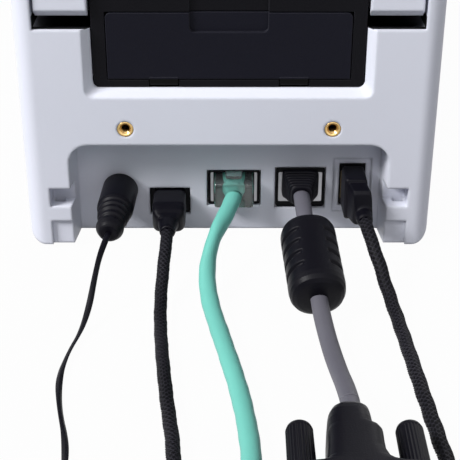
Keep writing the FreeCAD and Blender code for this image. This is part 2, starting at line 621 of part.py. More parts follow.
def socket(port, cavity_w, cavity_h):
    """A shell on the board whose nose sits in the port's opening, with a cavity for the plug."""
    half = port + "_w / 2 - seat_gap"
    low = port + "_z - " + port + "_h / 2 + seat_gap"
    high = port + "_z + " + port + "_h / 2 - seat_gap"
    back = BAY_BACK + " - socket_deep"
    shell = box((port + "_x - (" + half + ")", back, BOARD_TOP),
                (port + "_x + " + half, BAY_BACK + " - seat_gap", high))
    nose = box((port + "_x - (" + half + ")", BAY_BACK + " - 1", low),
               (port + "_x + " + half, BAY_WALL + " - port_frame_depth - 0.2", high))
    cavity = box((port + "_x - (" + cavity_w + ") / 2", back + " + socket_skin",
                  port + "_z - (" + cavity_h + ") / 2"),
                 (port + "_x + (" + cavity_w + ") / 2", BAY_WALL + " + 1",
                  port + "_z + (" + cavity_h + ") / 2"))
    return without(joined(shell, nose), cavity)


def dc_jack():
    back = BAY_BACK + " - socket_deep"
    shell = box(("dc_x - jack_half", back, BOARD_TOP),
                ("dc_x + jack_half", BAY_BACK + " - seat_gap", "dc_z + jack_half"))
    nose = rod("y", ("dc_x", BAY_BACK + " - 1", "dc_z"), "dc_hole_radius - seat_gap", "bay_skin + 0.7")
    bore = rod("y", ("dc_x", back + " + socket_skin", "dc_z"), "jack_bore", "socket_deep + bay_skin")
    return without(joined(shell, nose), bore)


# Feed mechanism: platen, gear train, motor and the frame that carries them
def gear_outline(teeth, module, phase, backlash):
    """Corners of an involute gear of 20 degree pressure angle, each flank in short chords."""
    pressure = math.radians(20)
    pitch = module * teeth / 2
    base = pitch * math.cos(pressure)
    tip = pitch + module
    root = pitch - 1.25 * module
    half = math.pi / (2 * teeth) - backlash / (2 * pitch) + math.tan(pressure) - pressure
    start = max(base, root)
    steps = 4
    flank = []
    if root < base:
        flank.append((root, half))
    for step in range(steps + 1):
        radius = start + (tip - start) * step / steps
        slant = math.acos(min(1, base / radius))
        flank.append((radius, half - (math.tan(slant) - slant)))
    points = []
    for tooth in range(teeth):
        middle = phase + 2 * math.pi * tooth / teeth
        points += [(radius, middle - angle) for radius, angle in flank]
        points += [(radius, middle + angle) for radius, angle in reversed(flank)]
    return [(radius * math.cos(angle), radius * math.sin(angle)) for radius, angle in points]


def gear(teeth, module, phase, bore, thick):
    """A gear along its own Z axis, as a solid with a bore."""
    corners = [FreeCAD.Vector(u, v, 0) for u, v in gear_outline(teeth, module, phase, value("gear_backlash"))]
    rim = Part.Wire(Part.makePolygon(corners + corners[:1]))
    hole = Part.Wire(Part.makeCircle(bore))
    face = Part.Face([rim, hole])
    face.validate()
    return face.extrude(Z_AXIS * thick)


def mesh_phase(phase, teeth, direction, next_teeth):
    """The phase of a gear whose gap meets a tooth of its driver in the direction of its centre."""
    share = ((direction - phase) * teeth / (2 * math.pi)) % 1
    return direction + math.pi + (share + 0.5) * 2 * math.pi / next_teeth


def along_x(shape, at):
    """A feature whose local X, Y and Z run along the model's Y, Z and X."""
    item = doc.addObject("Part::Feature", "Gear")
    item.Shape = shape
    item.Placement = FreeCAD.Placement(at, FreeCAD.Rotation(Y_AXIS, Z_AXIS, X_AXIS))
    return item


def gear_centres():
    """Centres (y, z) of the platen gear, the idler and the motor pinion."""
    module = value("gear_module")
    spread = value("gear_backlash") / 2
    first = module * (value("platen_teeth") + value("idler_teeth")) / 2 + spread
    second = module * (value("idler_teeth") + value("pinion_teeth")) / 2 + spread
    platen = (value("platen_y"), value("platen_z"))
    turn = math.radians(value("idler_angle"))
    idler = (platen[0] + first * math.cos(turn), platen[1] + first * math.sin(turn))
    turn = math.radians(value("pinion_angle"))
    pinion = (idler[0] + second * math.cos(turn), idler[1] + second * math.sin(turn))
    return platen, idler, pinion


def gear_train():
    """Platen gear, idler gear and motor pinion in mesh."""
    centres = gear_centres()
    counts = [round(value(name)) for name in ("platen_teeth", "idler_teeth", "pinion_teeth")]
    turns = [math.radians(value(name)) for name in ("idler_angle", "pinion_angle")]
    phases = [0.0]
    for index in (0, 1):
        phases.append(mesh_phase(phases[index], counts[index], turns[index], counts[index + 1]))
    module, thick, fit = value("gear_module"), value("gear_thick"), value("run_gap")
    bores = [value("shaft_radius") + fit, value("stud_radius") + fit, value("motor_shaft") + fit]
    gears = []
    for count, phase, bore, (place_y, place_z) in zip(counts, phases, bores, centres):
        shape = gear(count, module, phase, bore, thick)
        gears.append(along_x(shape, FreeCAD.Vector(value("gear_x"), place_y, place_z)))
    return gears


def mechanism_frame():
    platen, idler, motor = gear_centres()
    outer = "(frame_half + frame_thick)"
    plates = both(box(("frame_half", "frame_front", PLATE_TOP), (outer, "frame_rear", "frame_top")))
    floor = box(("-" + outer, "frame_front", PLATE_TOP), (outer, "frame_rear", PLATE_TOP + " + frame_thick"))
    stud = rod("x", (outer + " - 1", str(idler[0]), str(idler[1])), "stud_radius",
               "gear_x + gear_thick + 2 - frame_half - frame_thick")
    bushes = both(rod("x", ("frame_half - 1", "platen_y", "platen_z"), "bush_radius + run_gap",
                      "frame_thick + 2"))
    boss = rod("x", ("frame_half - 1", str(motor[0]), str(motor[1])), "motor_boss", "frame_thick + 2")
    return without(joined(floor, stud, *plates), boss, *bushes)


def platen_bushes():
    start = ("frame_half - 0.5", "platen_y", "platen_z")
    barrel = rod("x", start, "bush_radius", "frame_thick + 0.6")
    flange = rod("x", ("frame_half + frame_thick + 0.05", "platen_y", "platen_z"), "bush_flange",
                 "bush_flange_thick")
    bore = rod("x", ("frame_half - 2", "platen_y", "platen_z"), "shaft_radius + run_gap", "frame_thick + 5")
    return grouped(*both(without(joined(barrel, flange), bore)))


def platen_shaft():
    left = "(frame_half + frame_thick + bush_flange_thick + 1)"
    return rod("x", ("-" + left, "platen_y", "platen_z"), "shaft_radius",
               left + " + gear_x + gear_thick + 1")


def platen_rubber():
    start = ("-platen_half", "platen_y", "platen_z")
    sleeve = rod("x", start, "platen_radius", "2 * platen_half")
    bore = rod("x", ("-platen_half - 1", "platen_y", "platen_z"), "shaft_radius + 0.02",
               "2 * platen_half + 2")
    return without(sleeve, bore)


def motor():
    place_y, place_z = (str(number) for number in gear_centres()[2])
    low = ("frame_half - motor_long", place_y + " - motor_side / 2", place_z + " - motor_side / 2")
    high = ("frame_half", place_y + " + motor_side / 2", place_z + " + motor_side / 2")
    bore = rod("x", ("frame_half - motor_bore_deep", place_y, place_z), "motor_shaft + run_gap",
               "motor_long")
    return without(block(low, high, "3", "x"), bore)


def motor_pinion(wheel):
    place_y, place_z = (str(number) for number in gear_centres()[2])
    shaft = rod("x", ("frame_half - motor_bore_deep + 1", place_y, place_z), "motor_shaft",
                "motor_bore_deep - 1 + gear_x + gear_thick + 1 - frame_half")
    core = rod("x", ("gear_x", place_y, place_z), "motor_shaft + 1", "gear_thick")
    return joined(wheel, core, shaft)


# Media guides on racks, moved together by a pinion under the tub
def rack_points(length_low, length_high, module, backlash):
    """Corners (x, y) of a rack whose teeth point to -y from a pitch line at y = 0, a gap at x = 0."""
    pitch = math.pi * module
    slope = math.tan(math.radians(20))
    wide = pitch / 4 - backlash / 2
    back = value("rack_back") + 1.25 * module
    points = [(length_high, 1.25 * module), (length_high, back), (length_low, back),
              (length_low, 1.25 * module)]
    first = math.ceil(length_low / pitch + 0.5)
    last = math.floor(length_high / pitch - 0.5)
    for tooth in range(first, last):
        middle = (tooth + 0.5) * pitch
        points.append((middle - wide - 1.25 * module * slope, 1.25 * module))
        points.append((middle - wide + module * slope, -module))
        points.append((middle + wide - module * slope, -module))
        points.append((middle + wide + 1.25 * module * slope, 1.25 * module))
    return points


def guide_rack():
    """The rack of the +X guide, beside the pinion on its +Y side."""
    module = value("rack_module")
    reach = value("rack_module * rack_teeth / 2")
    low, high = -reach / 2, value("guide_x + guide_thick")
    level = value("tub_bottom - seat_gap - rack_high")
    line = value("roll_y") + reach + value("gear_backlash") / 2
    outline = rack_points(low, high, module, value("gear_backlash"))
    corners = [FreeCAD.Vector(u, line + v, level) for u, v in outline]
    face = Part.Face(Part.Wire(Part.makePolygon(corners + corners[:1])))
    item = doc.addObject("Part::Feature", "Rack")
    item.Shape = face.extrude(Z_AXIS * value("rack_high"))
    return item


def media_guide():
    """The guide on the +X side: a round plate, its foot through the tub floor, and its rack."""
    disc = rod("x", ("guide_x", "roll_y", "roll_z"), "guide_radius", "guide_thick")
    trim = box(("guide_x - 1", "roll_y - 2 * guide_radius", "guide_top"),
               ("guide_x + guide_thick + 1", "roll_y + 2 * guide_radius", "guide_top + guide_radius"))
    under = "tub_bottom - seat_gap - rack_high"
    foot = box(("guide_x", "roll_y - guide_foot", under),
               ("guide_x + guide_thick", "roll_y + guide_foot", "roll_z - guide_radius / 2"))
    heel = box(("guide_x", "roll_y - guide_foot", under),
               ("guide_x + guide_thick", "roll_y + rack_module * (rack_teeth / 2 + 1.25) + rack_back",
                "tub_bottom - seat_gap"))
    return joined(without(disc, trim), foot, heel, guide_rack())


def half_turned(source):
    """The same piece turned half a turn about the pinion's axis."""
    doc.recompute()
    item = doc.addObject("Part::Feature", "Turned")
    item.Shape = source.Shape.copy()
    pivot = FreeCAD.Vector(0, value("roll_y"), 0)
    item.Placement = FreeCAD.Placement(FreeCAD.Vector(), FreeCAD.Rotation(Z_AXIS, 180), pivot)
    return item


def guide_pinion():
    item = doc.addObject("Part::Feature", "Pinion")
    teeth = round(value("rack_teeth"))
    bore = value("pinion_stud + run_gap")
    item.Shape = gear(teeth, value("rack_module"), math.pi / 2, bore, value("rack_high"))
    item.Placement.Base = FreeCAD.Vector(0, value("roll_y"), value("tub_bottom - seat_gap - rack_high"))
    return item


# Front control panel, its buttons and light, and the tear bar
CONTROL_LEAN = math.degrees(math.atan2(value("front_lean"), value("control_top - front_wall_top")))


def on_control(across, height, depth):
    """A point under the control panel's face, and the turn that lays Z along the face's normal."""
    lean = math.radians(CONTROL_LEAN)
    face_y = value(FRONT) + (value(height) - value("front_wall_top")) * math.tan(lean)
    low = value(height) - depth * math.sin(lean)
    at = FreeCAD.Vector(value(across), face_y + depth * math.cos(lean), low)
    return FreeCAD.Placement(at, FreeCAD.Rotation(X_AXIS, 90 - CONTROL_LEAN))


def normal_rod(across, depth, radius, length):
    """A cylinder along the control panel's normal, starting at a depth under its face."""
    item = doc.addObject("Part::Cylinder", "Press")
    bind(item, Radius=radius, Height=length)
    item.Placement = on_control(across, "button_z", value(depth))
    return item


def normal_bar(depth, half_x, half_z, length):
    """A bar along the control panel's normal at the middle of the panel."""
    item = doc.addObject("Part::Box", "Bar")
    bind(item, Length="2 * (" + half_x + ")", Width="2 * (" + half_z + ")", Height=length)
    spot = on_control("0", "button_z", value(depth))
    shift = spot.Rotation.multVec(FreeCAD.Vector(-value(half_x), -value(half_z), 0))
    item.Placement = FreeCAD.Placement(spot.Base + shift, spot.Rotation)
    return item


def control_panel():
    top = FRONT + " + front_lean"
    outline = [(FRONT, "front_wall_top"), (top, "control_top"), (top + " + control_thick", "control_top"),
               (FRONT + " + control_thick", "front_wall_top")]
    plate = profile(outline, "2 * (" + INSIDE + " - seat_gap)")
    holes = [normal_rod(side + "button_x", "control_thick + 2", "button_radius + 0.25", "control_thick + 4")
             for side in ("", "-")]
    holes.append(normal_bar("control_thick + 2", "light_half + run_gap", "light_high / 2 + run_gap",
                            "control_thick + 4"))
    return without(plate, *holes)


def press_button(side):
    stem = "control_thick + button_travel + 0.4"
    cap = normal_rod(side + "button_x", stem, "button_radius", stem + " + button_proud")
    flange = normal_rod(side + "button_x", stem + " + button_flange_thick", "button_flange",
                        "button_flange_thick + 0.8")
    return joined(cap, flange)


def status_light():
    return normal_bar("control_thick", "light_half", "light_high / 2", "control_thick + light_proud")


def tear_bar():
    back = value(FRONT + " + front_lean + control_thick")
    front = back - value("tear_wide")
    half, count = value("tear_half"), round(value("tear_count"))
    step = 2 * half / count
    corners = [FreeCAD.Vector(half, back, 0), FreeCAD.Vector(-half, back, 0), FreeCAD.Vector(-half, front, 0)]
    for tooth in range(count):
        start = -half + tooth * step
        corners.append(FreeCAD.Vector(start + step / 2, front - value("tear_tooth"), 0))
        corners.append(FreeCAD.Vector(start + step, front, 0))
    face = Part.Face(Part.Wire(Part.makePolygon(corners + corners[:1])))
    item = doc.addObject("Part::Feature", "Blade")
    item.Shape = face.extrude(Z_AXIS * value("tear_thick"))
    item.Placement.Base = FreeCAD.Vector(0, 0, value("control_top"))
    return item


# Lid: arched skin, hinge arms, dark window, inner frame and print head
def lid_skin():
    outline = [
        (LID_REAR, "arm_bottom"), (LID_REAR, "lid_shoulder"), (REAR + " - lid_top_back", "body_height"),
        ("lid_top_front", "body_height"), (FRONT + " + lid_nose_y", "lid_nose_z"),
        (FRONT + " + lid_lip_y", "lid_lip_z"), (REAR + " - arm_front", "skirt_rear"),
        (REAR + " - arm_front", "arm_bottom"),
    ]
    outer = rounded(profile(outline, "2 * " + LID_HALF),
                    ("lid_round", corner(*outline[1])), ("lid_round", corner(*outline[2])),
                    ("lid_front_round", corner(*outline[3])), ("lid_nose_round", corner(*outline[4])))
    top_loop, lip = side_loop(LID_HALF), value("lid_lip_z") + 5
    outer = rounded(outer, ("lid_edge_round", lambda edge: top_loop(edge) and edge.BoundBox.ZMax > lip))
    hollow = [
        (LID_REAR + " - lid_wall", "arm_bottom - 9"),
        (LID_REAR + " - lid_wall", "lid_shoulder - 0.4 * lid_wall"),
        (REAR + " - lid_top_back - 0.4 * lid_wall", "body_height - lid_wall"),
        ("lid_top_front + 0.25 * lid_wall", "body_height - lid_wall"),
        (FRONT + " + lid_nose_y + lid_wall", "lid_nose_z - 0.6 * lid_wall"),
        (FRONT + " + lid_lip_y + lid_wall", "lid_lip_z - 9"),
    ]
    inner = rounded(profile(hollow, "2 * (" + LID_HALF + " - lid_wall)"),
                    ("lid_round - lid_wall", corner(*hollow[1])),
                    ("lid_round - lid_wall", corner(*hollow[2])),
                    ("lid_front_round - lid_wall", corner(*hollow[3])),
                    ("lid_nose_round - lid_wall", corner(*hollow[4])))
    return without(outer, inner)


def lid_shell(skin):
    low = value("arm_bottom") + 1
    arm = rounded(box(("arm_in", REAR + " - arm_front", "arm_bottom"), (LID_HALF, LID_REAR, "arm_top")),
                  ("arm_corner", lambda edge: runs("y")(edge) and edge.BoundBox.ZMax < low),
                  ("arm_round", lambda edge: runs("x")(edge) and edge.BoundBox.ZMax < low))
    slot = box(("-arm_in", FRONT + " + slot_front", "0"), ("arm_in", REAR + " + 1", "body_height + 1"))
    pins = both(rod("x", ("hinge_in - move_gap", HINGE_Y, "hinge_z"), "hinge_radius + run_gap",
                    "hinge_reach + move_gap + 1"))
    catches = both(box((LID_HALF + " - lid_wall - 1", "release_front + release_arm - catch_margin",
                        "nose_low - catch_margin"),
                       (LID_HALF + " + 1", "release_rear - release_arm + catch_margin",
                        "nose_high + catch_margin")))
    low_rear = wedge(LID_REAR + " - arm_round", LID_REAR + " + 1",
                     ("arm_in - 1", LID_HALF + " + 1", "arm_bottom - 2", "arm_bottom"),
                     ("arm_in - 1", LID_HALF + " + 1", "arm_bottom - 2", "arm_bottom + arm_round + 1"))
    return without(joined(without(skin, slot), *both(arm)), *pins, *catches, *both(low_rear))


def lid_window(skin):
    half = "(arm_in - window_gap)"
    span = box(("-" + half, FRONT + " + slot_front + window_gap", "arm_top + 1"),
               (half, REAR + " + 1", "body_height + 1"))
    return shared(skin, span)


def lid_inner_frame():
    half = "(" + LID_HALF + " - lid_wall - seat_gap)"
    bar = box(("-" + half, FRONT + " + frame_bar_front", "frame_bar_low"),
              (half, FRONT + " + frame_bar_rear", "frame_bar_high"))
    lug_in = "(head_half + seat_gap)"
    lug = box((lug_in, "ear_front - 0.5", "pivot_z - pivot_radius - 1"),
              (lug_in + " + lug_wide", "head_rear + 0.5", "frame_bar_low + 1"))
    pin = rod("x", ("head_half - ear_wide", "pivot_y", "pivot_z"), "pivot_radius", "ear_wide + lug_wide")
    return joined(bar, *both(lug), *both(pin))


def print_head():
    plate = box(("-head_half", "head_front", "head_low"), ("head_half", "head_rear", "head_low + head_thick"))
    ears = both(box(("head_half - ear_wide", "ear_front", "head_low"), ("head_half", "head_rear", "ear_top")))
    fins = []
    for index in range(3):
        place_y = "head_front + fin_first + %d * fin_step" % index
        fins.append(box(("-head_half + fin_end", place_y, "head_low + head_thick - 0.5"),
                        ("head_half - fin_end", place_y + " + fin_wide", "head_low + head_thick + fin_high")))
    bores = both(rod("x", ("head_half - ear_wide - 1", "pivot_y", "pivot_z"), "pivot_radius + run_gap",
                     "ear_wide + 2"))
    return without(joined(plate, *ears, *fins), *bores)


def hinge_pins():
    return grouped(*both(rod("x", ("hinge_in", HINGE_Y, "hinge_z"), "hinge_radius",
                             INSIDE + " + hinge_seat - 0.1 - hinge_in")))


def release():
    """The lid release of the +X cheek: button, arm and hook nose in one piece."""
    gap = "move_gap / 2"
    button = box((INSIDE + " - 0.4", "release_front + " + gap, "release_low + " + gap),
                 ("body_width / 2 + release_proud", "release_rear - " + gap, "release_high - " + gap))
    button = rounded(button, ("1", runs("x")))
    arm = box(("release_in", "release_front + release_arm", "release_low + release_arm"),
              (INSIDE + " + 0.6", "release_rear - release_arm", "release_high - release_arm"))
    riser = box(("release_in", "release_front + release_arm", "release_low + release_arm"),
                ("release_in + release_riser", "release_rear - release_arm", "nose_high"))
    nose = box(("release_in + release_riser - 0.5", "release_front + release_arm", "nose_low"),
               ("release_in + release_riser + release_nose", "release_rear - release_arm", "nose_high"))
    return joined(button, arm, riser, nose)


# Plugs in the ports
def dc_plug():
    start = FreeCAD.Vector(value("dc_x"), value(BAY_WALL + " + dc_plug_stand"), value("dc_z"))
    aim = vectors(DC_ROUTE)[0] - start
    long = "%.6f" % aim.Length
    rib_run = "(" + long + " - dc_plug_barrel - dc_plug_collar_long)"
    outline = [("0.001", "-dc_tip_long"), ("dc_tip_radius", "-dc_tip_long"), ("dc_tip_radius", "0"),
               ("dc_plug_radius", "0"), ("dc_plug_radius", "dc_plug_barrel - 0.4"),
               ("dc_plug_radius - 0.5", "dc_plug_barrel")]
    ribs = round(value("dc_plug_ribs"))
    for rib in range(ribs):
        low = "dc_plug_barrel + %s * (%g / %d)" % (rib_run, rib, ribs)
        span = "%s / %d" % (rib_run, ribs)
        wide = "dc_plug_radius - 0.5 - (dc_plug_radius - 0.5 - dc_plug_neck) * %g" % ((rib + 1) / ribs)
        outline += [("(%s) - 0.5" % wide, low + " + 0.1 * " + span),
                    ("(%s) - 0.5" % wide, low + " + 0.35 * " + span),
                    (wide, low + " + 0.4 * " + span), (wide, low + " + 0.95 * " + span)]
    outline += [("dc_plug_collar", long + " - dc_plug_collar_long + 0.8"),
                ("dc_plug_collar", long + " - 0.5"), ("dc_plug_collar - 0.5", long), ("0.001", long)]
    body = turned(outline)
    body.Placement = FreeCAD.Placement(start, FreeCAD.Rotation(Z_AXIS, aim))
    return body


def usb_b_plug():
    start = BAY_WALL + " + 0.2"
    half, high, end = "usb_b_mould_w / 2", "usb_b_mould_h / 2", start + " + usb_b_mould_long"
    mould = block(("usb_b_x - " + half, start, "usb_b_z - " + high),
                  ("usb_b_x + " + half, end, "usb_b_z + " + high), "plug_round")
    neck = cone("y", ("usb_b_x", start + " + usb_b_mould_long - 0.1", "usb_b_z"), "usb_b_neck_radius",
                "usb_b_lead_d / 2 + 0.5", "usb_b_neck_long + 0.1")
    shell = box(("usb_b_x - usb_b_shell_w / 2", BAY_WALL + " - shell_long", "usb_b_z - usb_b_shell_h / 2"),
                ("usb_b_x + usb_b_shell_w / 2", start + " + 1", "usb_b_z + usb_b_shell_h / 2"))
    return joined(mould, neck, shell)


def lan_plug():
    inner = BAY_WALL + " - lan_plug_in"
    outer = BAY_WALL + " + lan_plug_out"
    side = "lan_plug_w / 2"
    body = block(("lan_x - " + side, inner, "lan_z - lan_plug_h / 2"),
                 ("lan_x + " + side, outer, "lan_z + lan_plug_h / 2"), "lan_latch_thick / 2")
    latch = box(("lan_x - lan_latch_w / 2", inner + " + 2", "lan_z + lan_plug_h / 2 - 0.5"),
                ("lan_x + lan_latch_w / 2", inner + " + 5", "lan_z + lan_plug_h / 2 + lan_latch_thick"))
    lever = box(("lan_x - lan_latch_w / 2", inner + " + 2", "lan_z + lan_plug_h / 2 + lan_latch_thick - 0.6"),
                ("lan_x + lan_latch_w / 2", outer + " - 1", "lan_z + lan_plug_h / 2 + lan_latch_thick + 0.6"))
    return joined(body, latch, lever)


def serial_plug():
    start = BAY_WALL + " + 0.2"
    boot = wedge(start, start + " + boot_long",
                 ("serial_x - boot_w / 2", "serial_x + boot_w / 2",
                  "serial_z + boot_lift - boot_h / 2", "serial_z + boot_lift + boot_h / 2"),
                 ("serial_x - boot_end / 2", "serial_x + boot_end / 2",
                  "serial_z + boot_lift - boot_end / 2", "serial_z + boot_lift + boot_end / 2"))
    ribs = round(value("boot_ribs"))
    grooves = []
    for index in range(ribs):
        share = (index + 1) / (ribs + 1.5)
        place_y = start + " + boot_long * %g" % share
        narrow = "((boot_w + (boot_end - boot_w) * %g) / 2 - boot_groove)" % share
        low = "((boot_h + (boot_end - boot_h) * %g) / 2 - boot_groove)" % share
        level = "serial_z + boot_lift"
        ring = box(("serial_x - boot_w", place_y, level + " - boot_h"),
                   ("serial_x + boot_w", place_y + " + boot_groove_wide", level + " + boot_h"))
        core = box(("serial_x - " + narrow, place_y + " - 1", level + " - " + low),
                   ("serial_x + " + narrow, place_y + " + 2", level + " + " + low))
        grooves.append(without(ring, core))
    tip = box(("serial_x - serial_tip_w / 2", BAY_WALL + " - serial_tip_long", "serial_z - serial_tip_h / 2"),
              ("serial_x + serial_tip_w / 2", start + " + 1", "serial_z + serial_tip_h / 2"))
    return joined(without(boot, *grooves), tip)


def usb_a_plug():
    start = BAY_WALL + " + 0.2"
    first = block(("usb_a_x - usb_a_mould_w / 2", start, "usb_a_z - usb_a_mould_h / 2"),
                  ("usb_a_x + usb_a_mould_w / 2", start + " + usb_a_step_at", "usb_a_z + usb_a_mould_h / 2"),
                  "plug_round")
    half = "(usb_a_mould_w - usb_a_step) / 2"
    high = "(usb_a_mould_h / 2 - usb_a_step)"
    middle = "usb_a_x - usb_a_shift / 2"
    second = block((middle + " - " + half, start + " + 1", "usb_a_z - " + high),
                   (middle + " + " + half, start + " + usb_a_mould_long", "usb_a_z + " + high), "plug_round")
    boot = rod("y", ("usb_a_x - usb_a_shift", start + " + usb_a_mould_long - 1", "usb_a_z - usb_a_drop"),
               "usb_a_boot_radius", "usb_a_boot_long + 1")
    shell = box(("usb_a_x - usb_a_shell_w / 2", BAY_WALL + " - shell_long", "usb_a_z - usb_a_shell_h / 2"),
                ("usb_a_x + usb_a_shell_w / 2", start + " + 1", "usb_a_z + usb_a_shell_h / 2"))
    return joined(first, second, boot, shell)


# Routes of the leads, as points (x, distance behind the rear face, z) where a lead isn't coiled
DC_ROUTE = [(33.9, 17.2, 14.8), (35.3, 25.5, 14.1), (36.5, 33.1, 10), (37.6, 39.5, 4.7),
            (39.2, 46.5, 1.4), (41.6, 56, 1.1), (42.7, 67, 1.1), (41, 79.5, 1.1), (37.7, 92.5, 1.1),
            (36.6, 108.5, 1.1), (36.6, 127.5, 1.1)]
DC_TAIL_ROUTE = [(36.6, 131.1, 8.3), (36.6, 137.9, 8.3), (39, 144.9, 10.2), (44, 150.9, 12.6),
                 (48.6, 157.1, 14), (49.8, 164.5, 14.2)]
USB_B_ROUTE = [(17.8, 10, 10.9), (18, 16.5, 9.9), (18.5, 24.5, 6.4), (18.8, 32.5, 2.9),
               (18.5, 41.5, 1.8), (17.6, 53.5, 1.8), (16.3, 66.5, 1.8), (14.7, 80.5, 1.8),
               (12.6, 95.5, 1.8), (12, 112.5, 1.8), (13, 136.5, 1.8), (15, 169.5, 1.8),
               (16.7, 209.5, 1.8), (17.2, 250.5, 1.8), (17.2, 290.5, 1.8)]
LAN_ROUTE = [(-1.45, -4.5, 15.2), (0.4, 4.5, 14.8), (4.6, 14, 11.4), (6.4, 24, 6.2), (5.3, 34.5, 3),
             (2.8, 46.5, 2.5), (0.2, 59.5, 2.5), (-2.4, 73, 2.5), (-4.4, 87.5, 2.5),
             (-5.5, 103.5, 2.5), (-3.2, 120.5, 2.5), (2.4, 140.5, 2.5), (6.2, 165.5, 2.5),
             (7, 198.5, 2.5), (7, 231.5, 2.5)]
SERIAL_UPPER_ROUTE = [(-21.4, -2.4, 16.55), (-21.6, 5.5, 16.3), (-22.1, 14.8, 14.15)]
SERIAL_LOWER_ROUTE = [(-24.1, 40.7, 7.65), (-24.8, 48.4, 5.7), (-26.1, 57.5, 3.6), (-27.5, 68, 3.4),
                      (-28.3, 77.1, 5.6), (-28.5, 85, 7.4)]
USB_A_ROUTE = [(-39.3, 8.5, 13.65), (-40, 14.9, 12.5), (-41.9, 21.3, 8.7), (-43.5, 28.3, 4.6),
               (-44.9, 36.3, 2.2), (-45.8, 47, 1.9), (-46.6, 59, 1.9), (-47.4, 72, 1.9),
               (-48.3, 85.5, 1.9), (-49.5, 101.5, 1.9), (-51.2, 122.5, 1.9), (-51.2, 155.5, 1.9)]


def vectors(points):
    """A route's points in the model's frame."""
    return [FreeCAD.Vector(across, value(REAR) + behind, height) for across, behind, height in points]


def tube_edges(points):
    """Straight runs joined by tangent arcs, with the tightest radius."""
    spots = vectors(points)
    edges, tightest = [], math.inf
    last = spots[0]
    for before, here, after in zip(spots, spots[1:], spots[2:]):
        come, leave = here - before, after - here
        half = come.getAngle(leave) / 2
        trim = 0.45 * min(come.Length, leave.Length)
        radius = trim / math.tan(half)
        tightest = min(tightest, radius)
        come.normalize()
        leave.normalize()
        enter, quit_at = here - come * trim, here + leave * trim
        inward = leave - come
        inward.normalize()
        middle = here + inward * (radius / math.cos(half) - radius)
        edges.append(Part.LineSegment(last, enter).toShape())
        edges.append(Part.Arc(enter, middle, quit_at).toShape())
        last = quit_at
    edges.append(Part.LineSegment(last, spots[-1]).toShape())
    return edges, tightest


def swept(name, edges, diameter):
    """A round tube along edges; its volume is compared with its section times its length."""
    wire = Part.Wire(edges)
    first = edges[0]
    start = first.FirstParameter
    ring = Part.makeCircle(diameter / 2, first.valueAt(start), first.tangentAt(start))
    shape = wire.makePipeShell([Part.Wire(ring)], True, False)
    share = shape.Volume / (math.pi * diameter ** 2 / 4 * wire.Length)
    item = doc.addObject("Part::Feature", "Tube")
    item.Shape = shape
    print("%s: length %.1f mm, volume share %.4f" % (name, wire.Length, share))
    return node(name, item)


def lead(name, points, diameter_name):
    edges, tightest = tube_edges(points)
    diameter = value(diameter_name)
    print("%s: tightest radius %.1f mm, %.1f diameters" % (name, tightest, tightest / diameter))
    return swept(name, edges, diameter)


def biarc(start, start_way, end, end_way):
    """Two arcs from one point and direction to another."""
    chord = end - start
    ways = start_way + end_way
    spread = 2 * (1 - start_way.dot(end_way))
    if spread < 1e-9:
        reach = chord.dot(chord) / (2 * chord.dot(ways))
    else:
        root = math.sqrt(chord.dot(ways) ** 2 + spread * chord.dot(chord))
        reach = (root - chord.dot(ways)) / spread
    joint = (start + start_way * reach + end - end_way * reach) * 0.5
    joint_way = end - end_way * reach - (start + start_way * reach)
    joint_way.normalize()
    return [arc(start, start_way, joint), arc(joint, joint_way, end)]


def arc(start, way, end):
    """The arc that leaves a point along a direction and ends at another."""
    chord = end - start
    along = way.dot(chord) / chord.Length
    side = way * -1 + chord * (along / chord.Length)
    if side.Length < 1e-7:
        return Part.LineSegment(start, end).toShape()
    side.normalize()
    half = math.acos(max(-1.0, min(1.0, along)))
    middle = (start + end) * 0.5 - side * (chord.Length / 2 * math.tan(half / 2))
    return Part.Arc(start, middle, end).toShape()


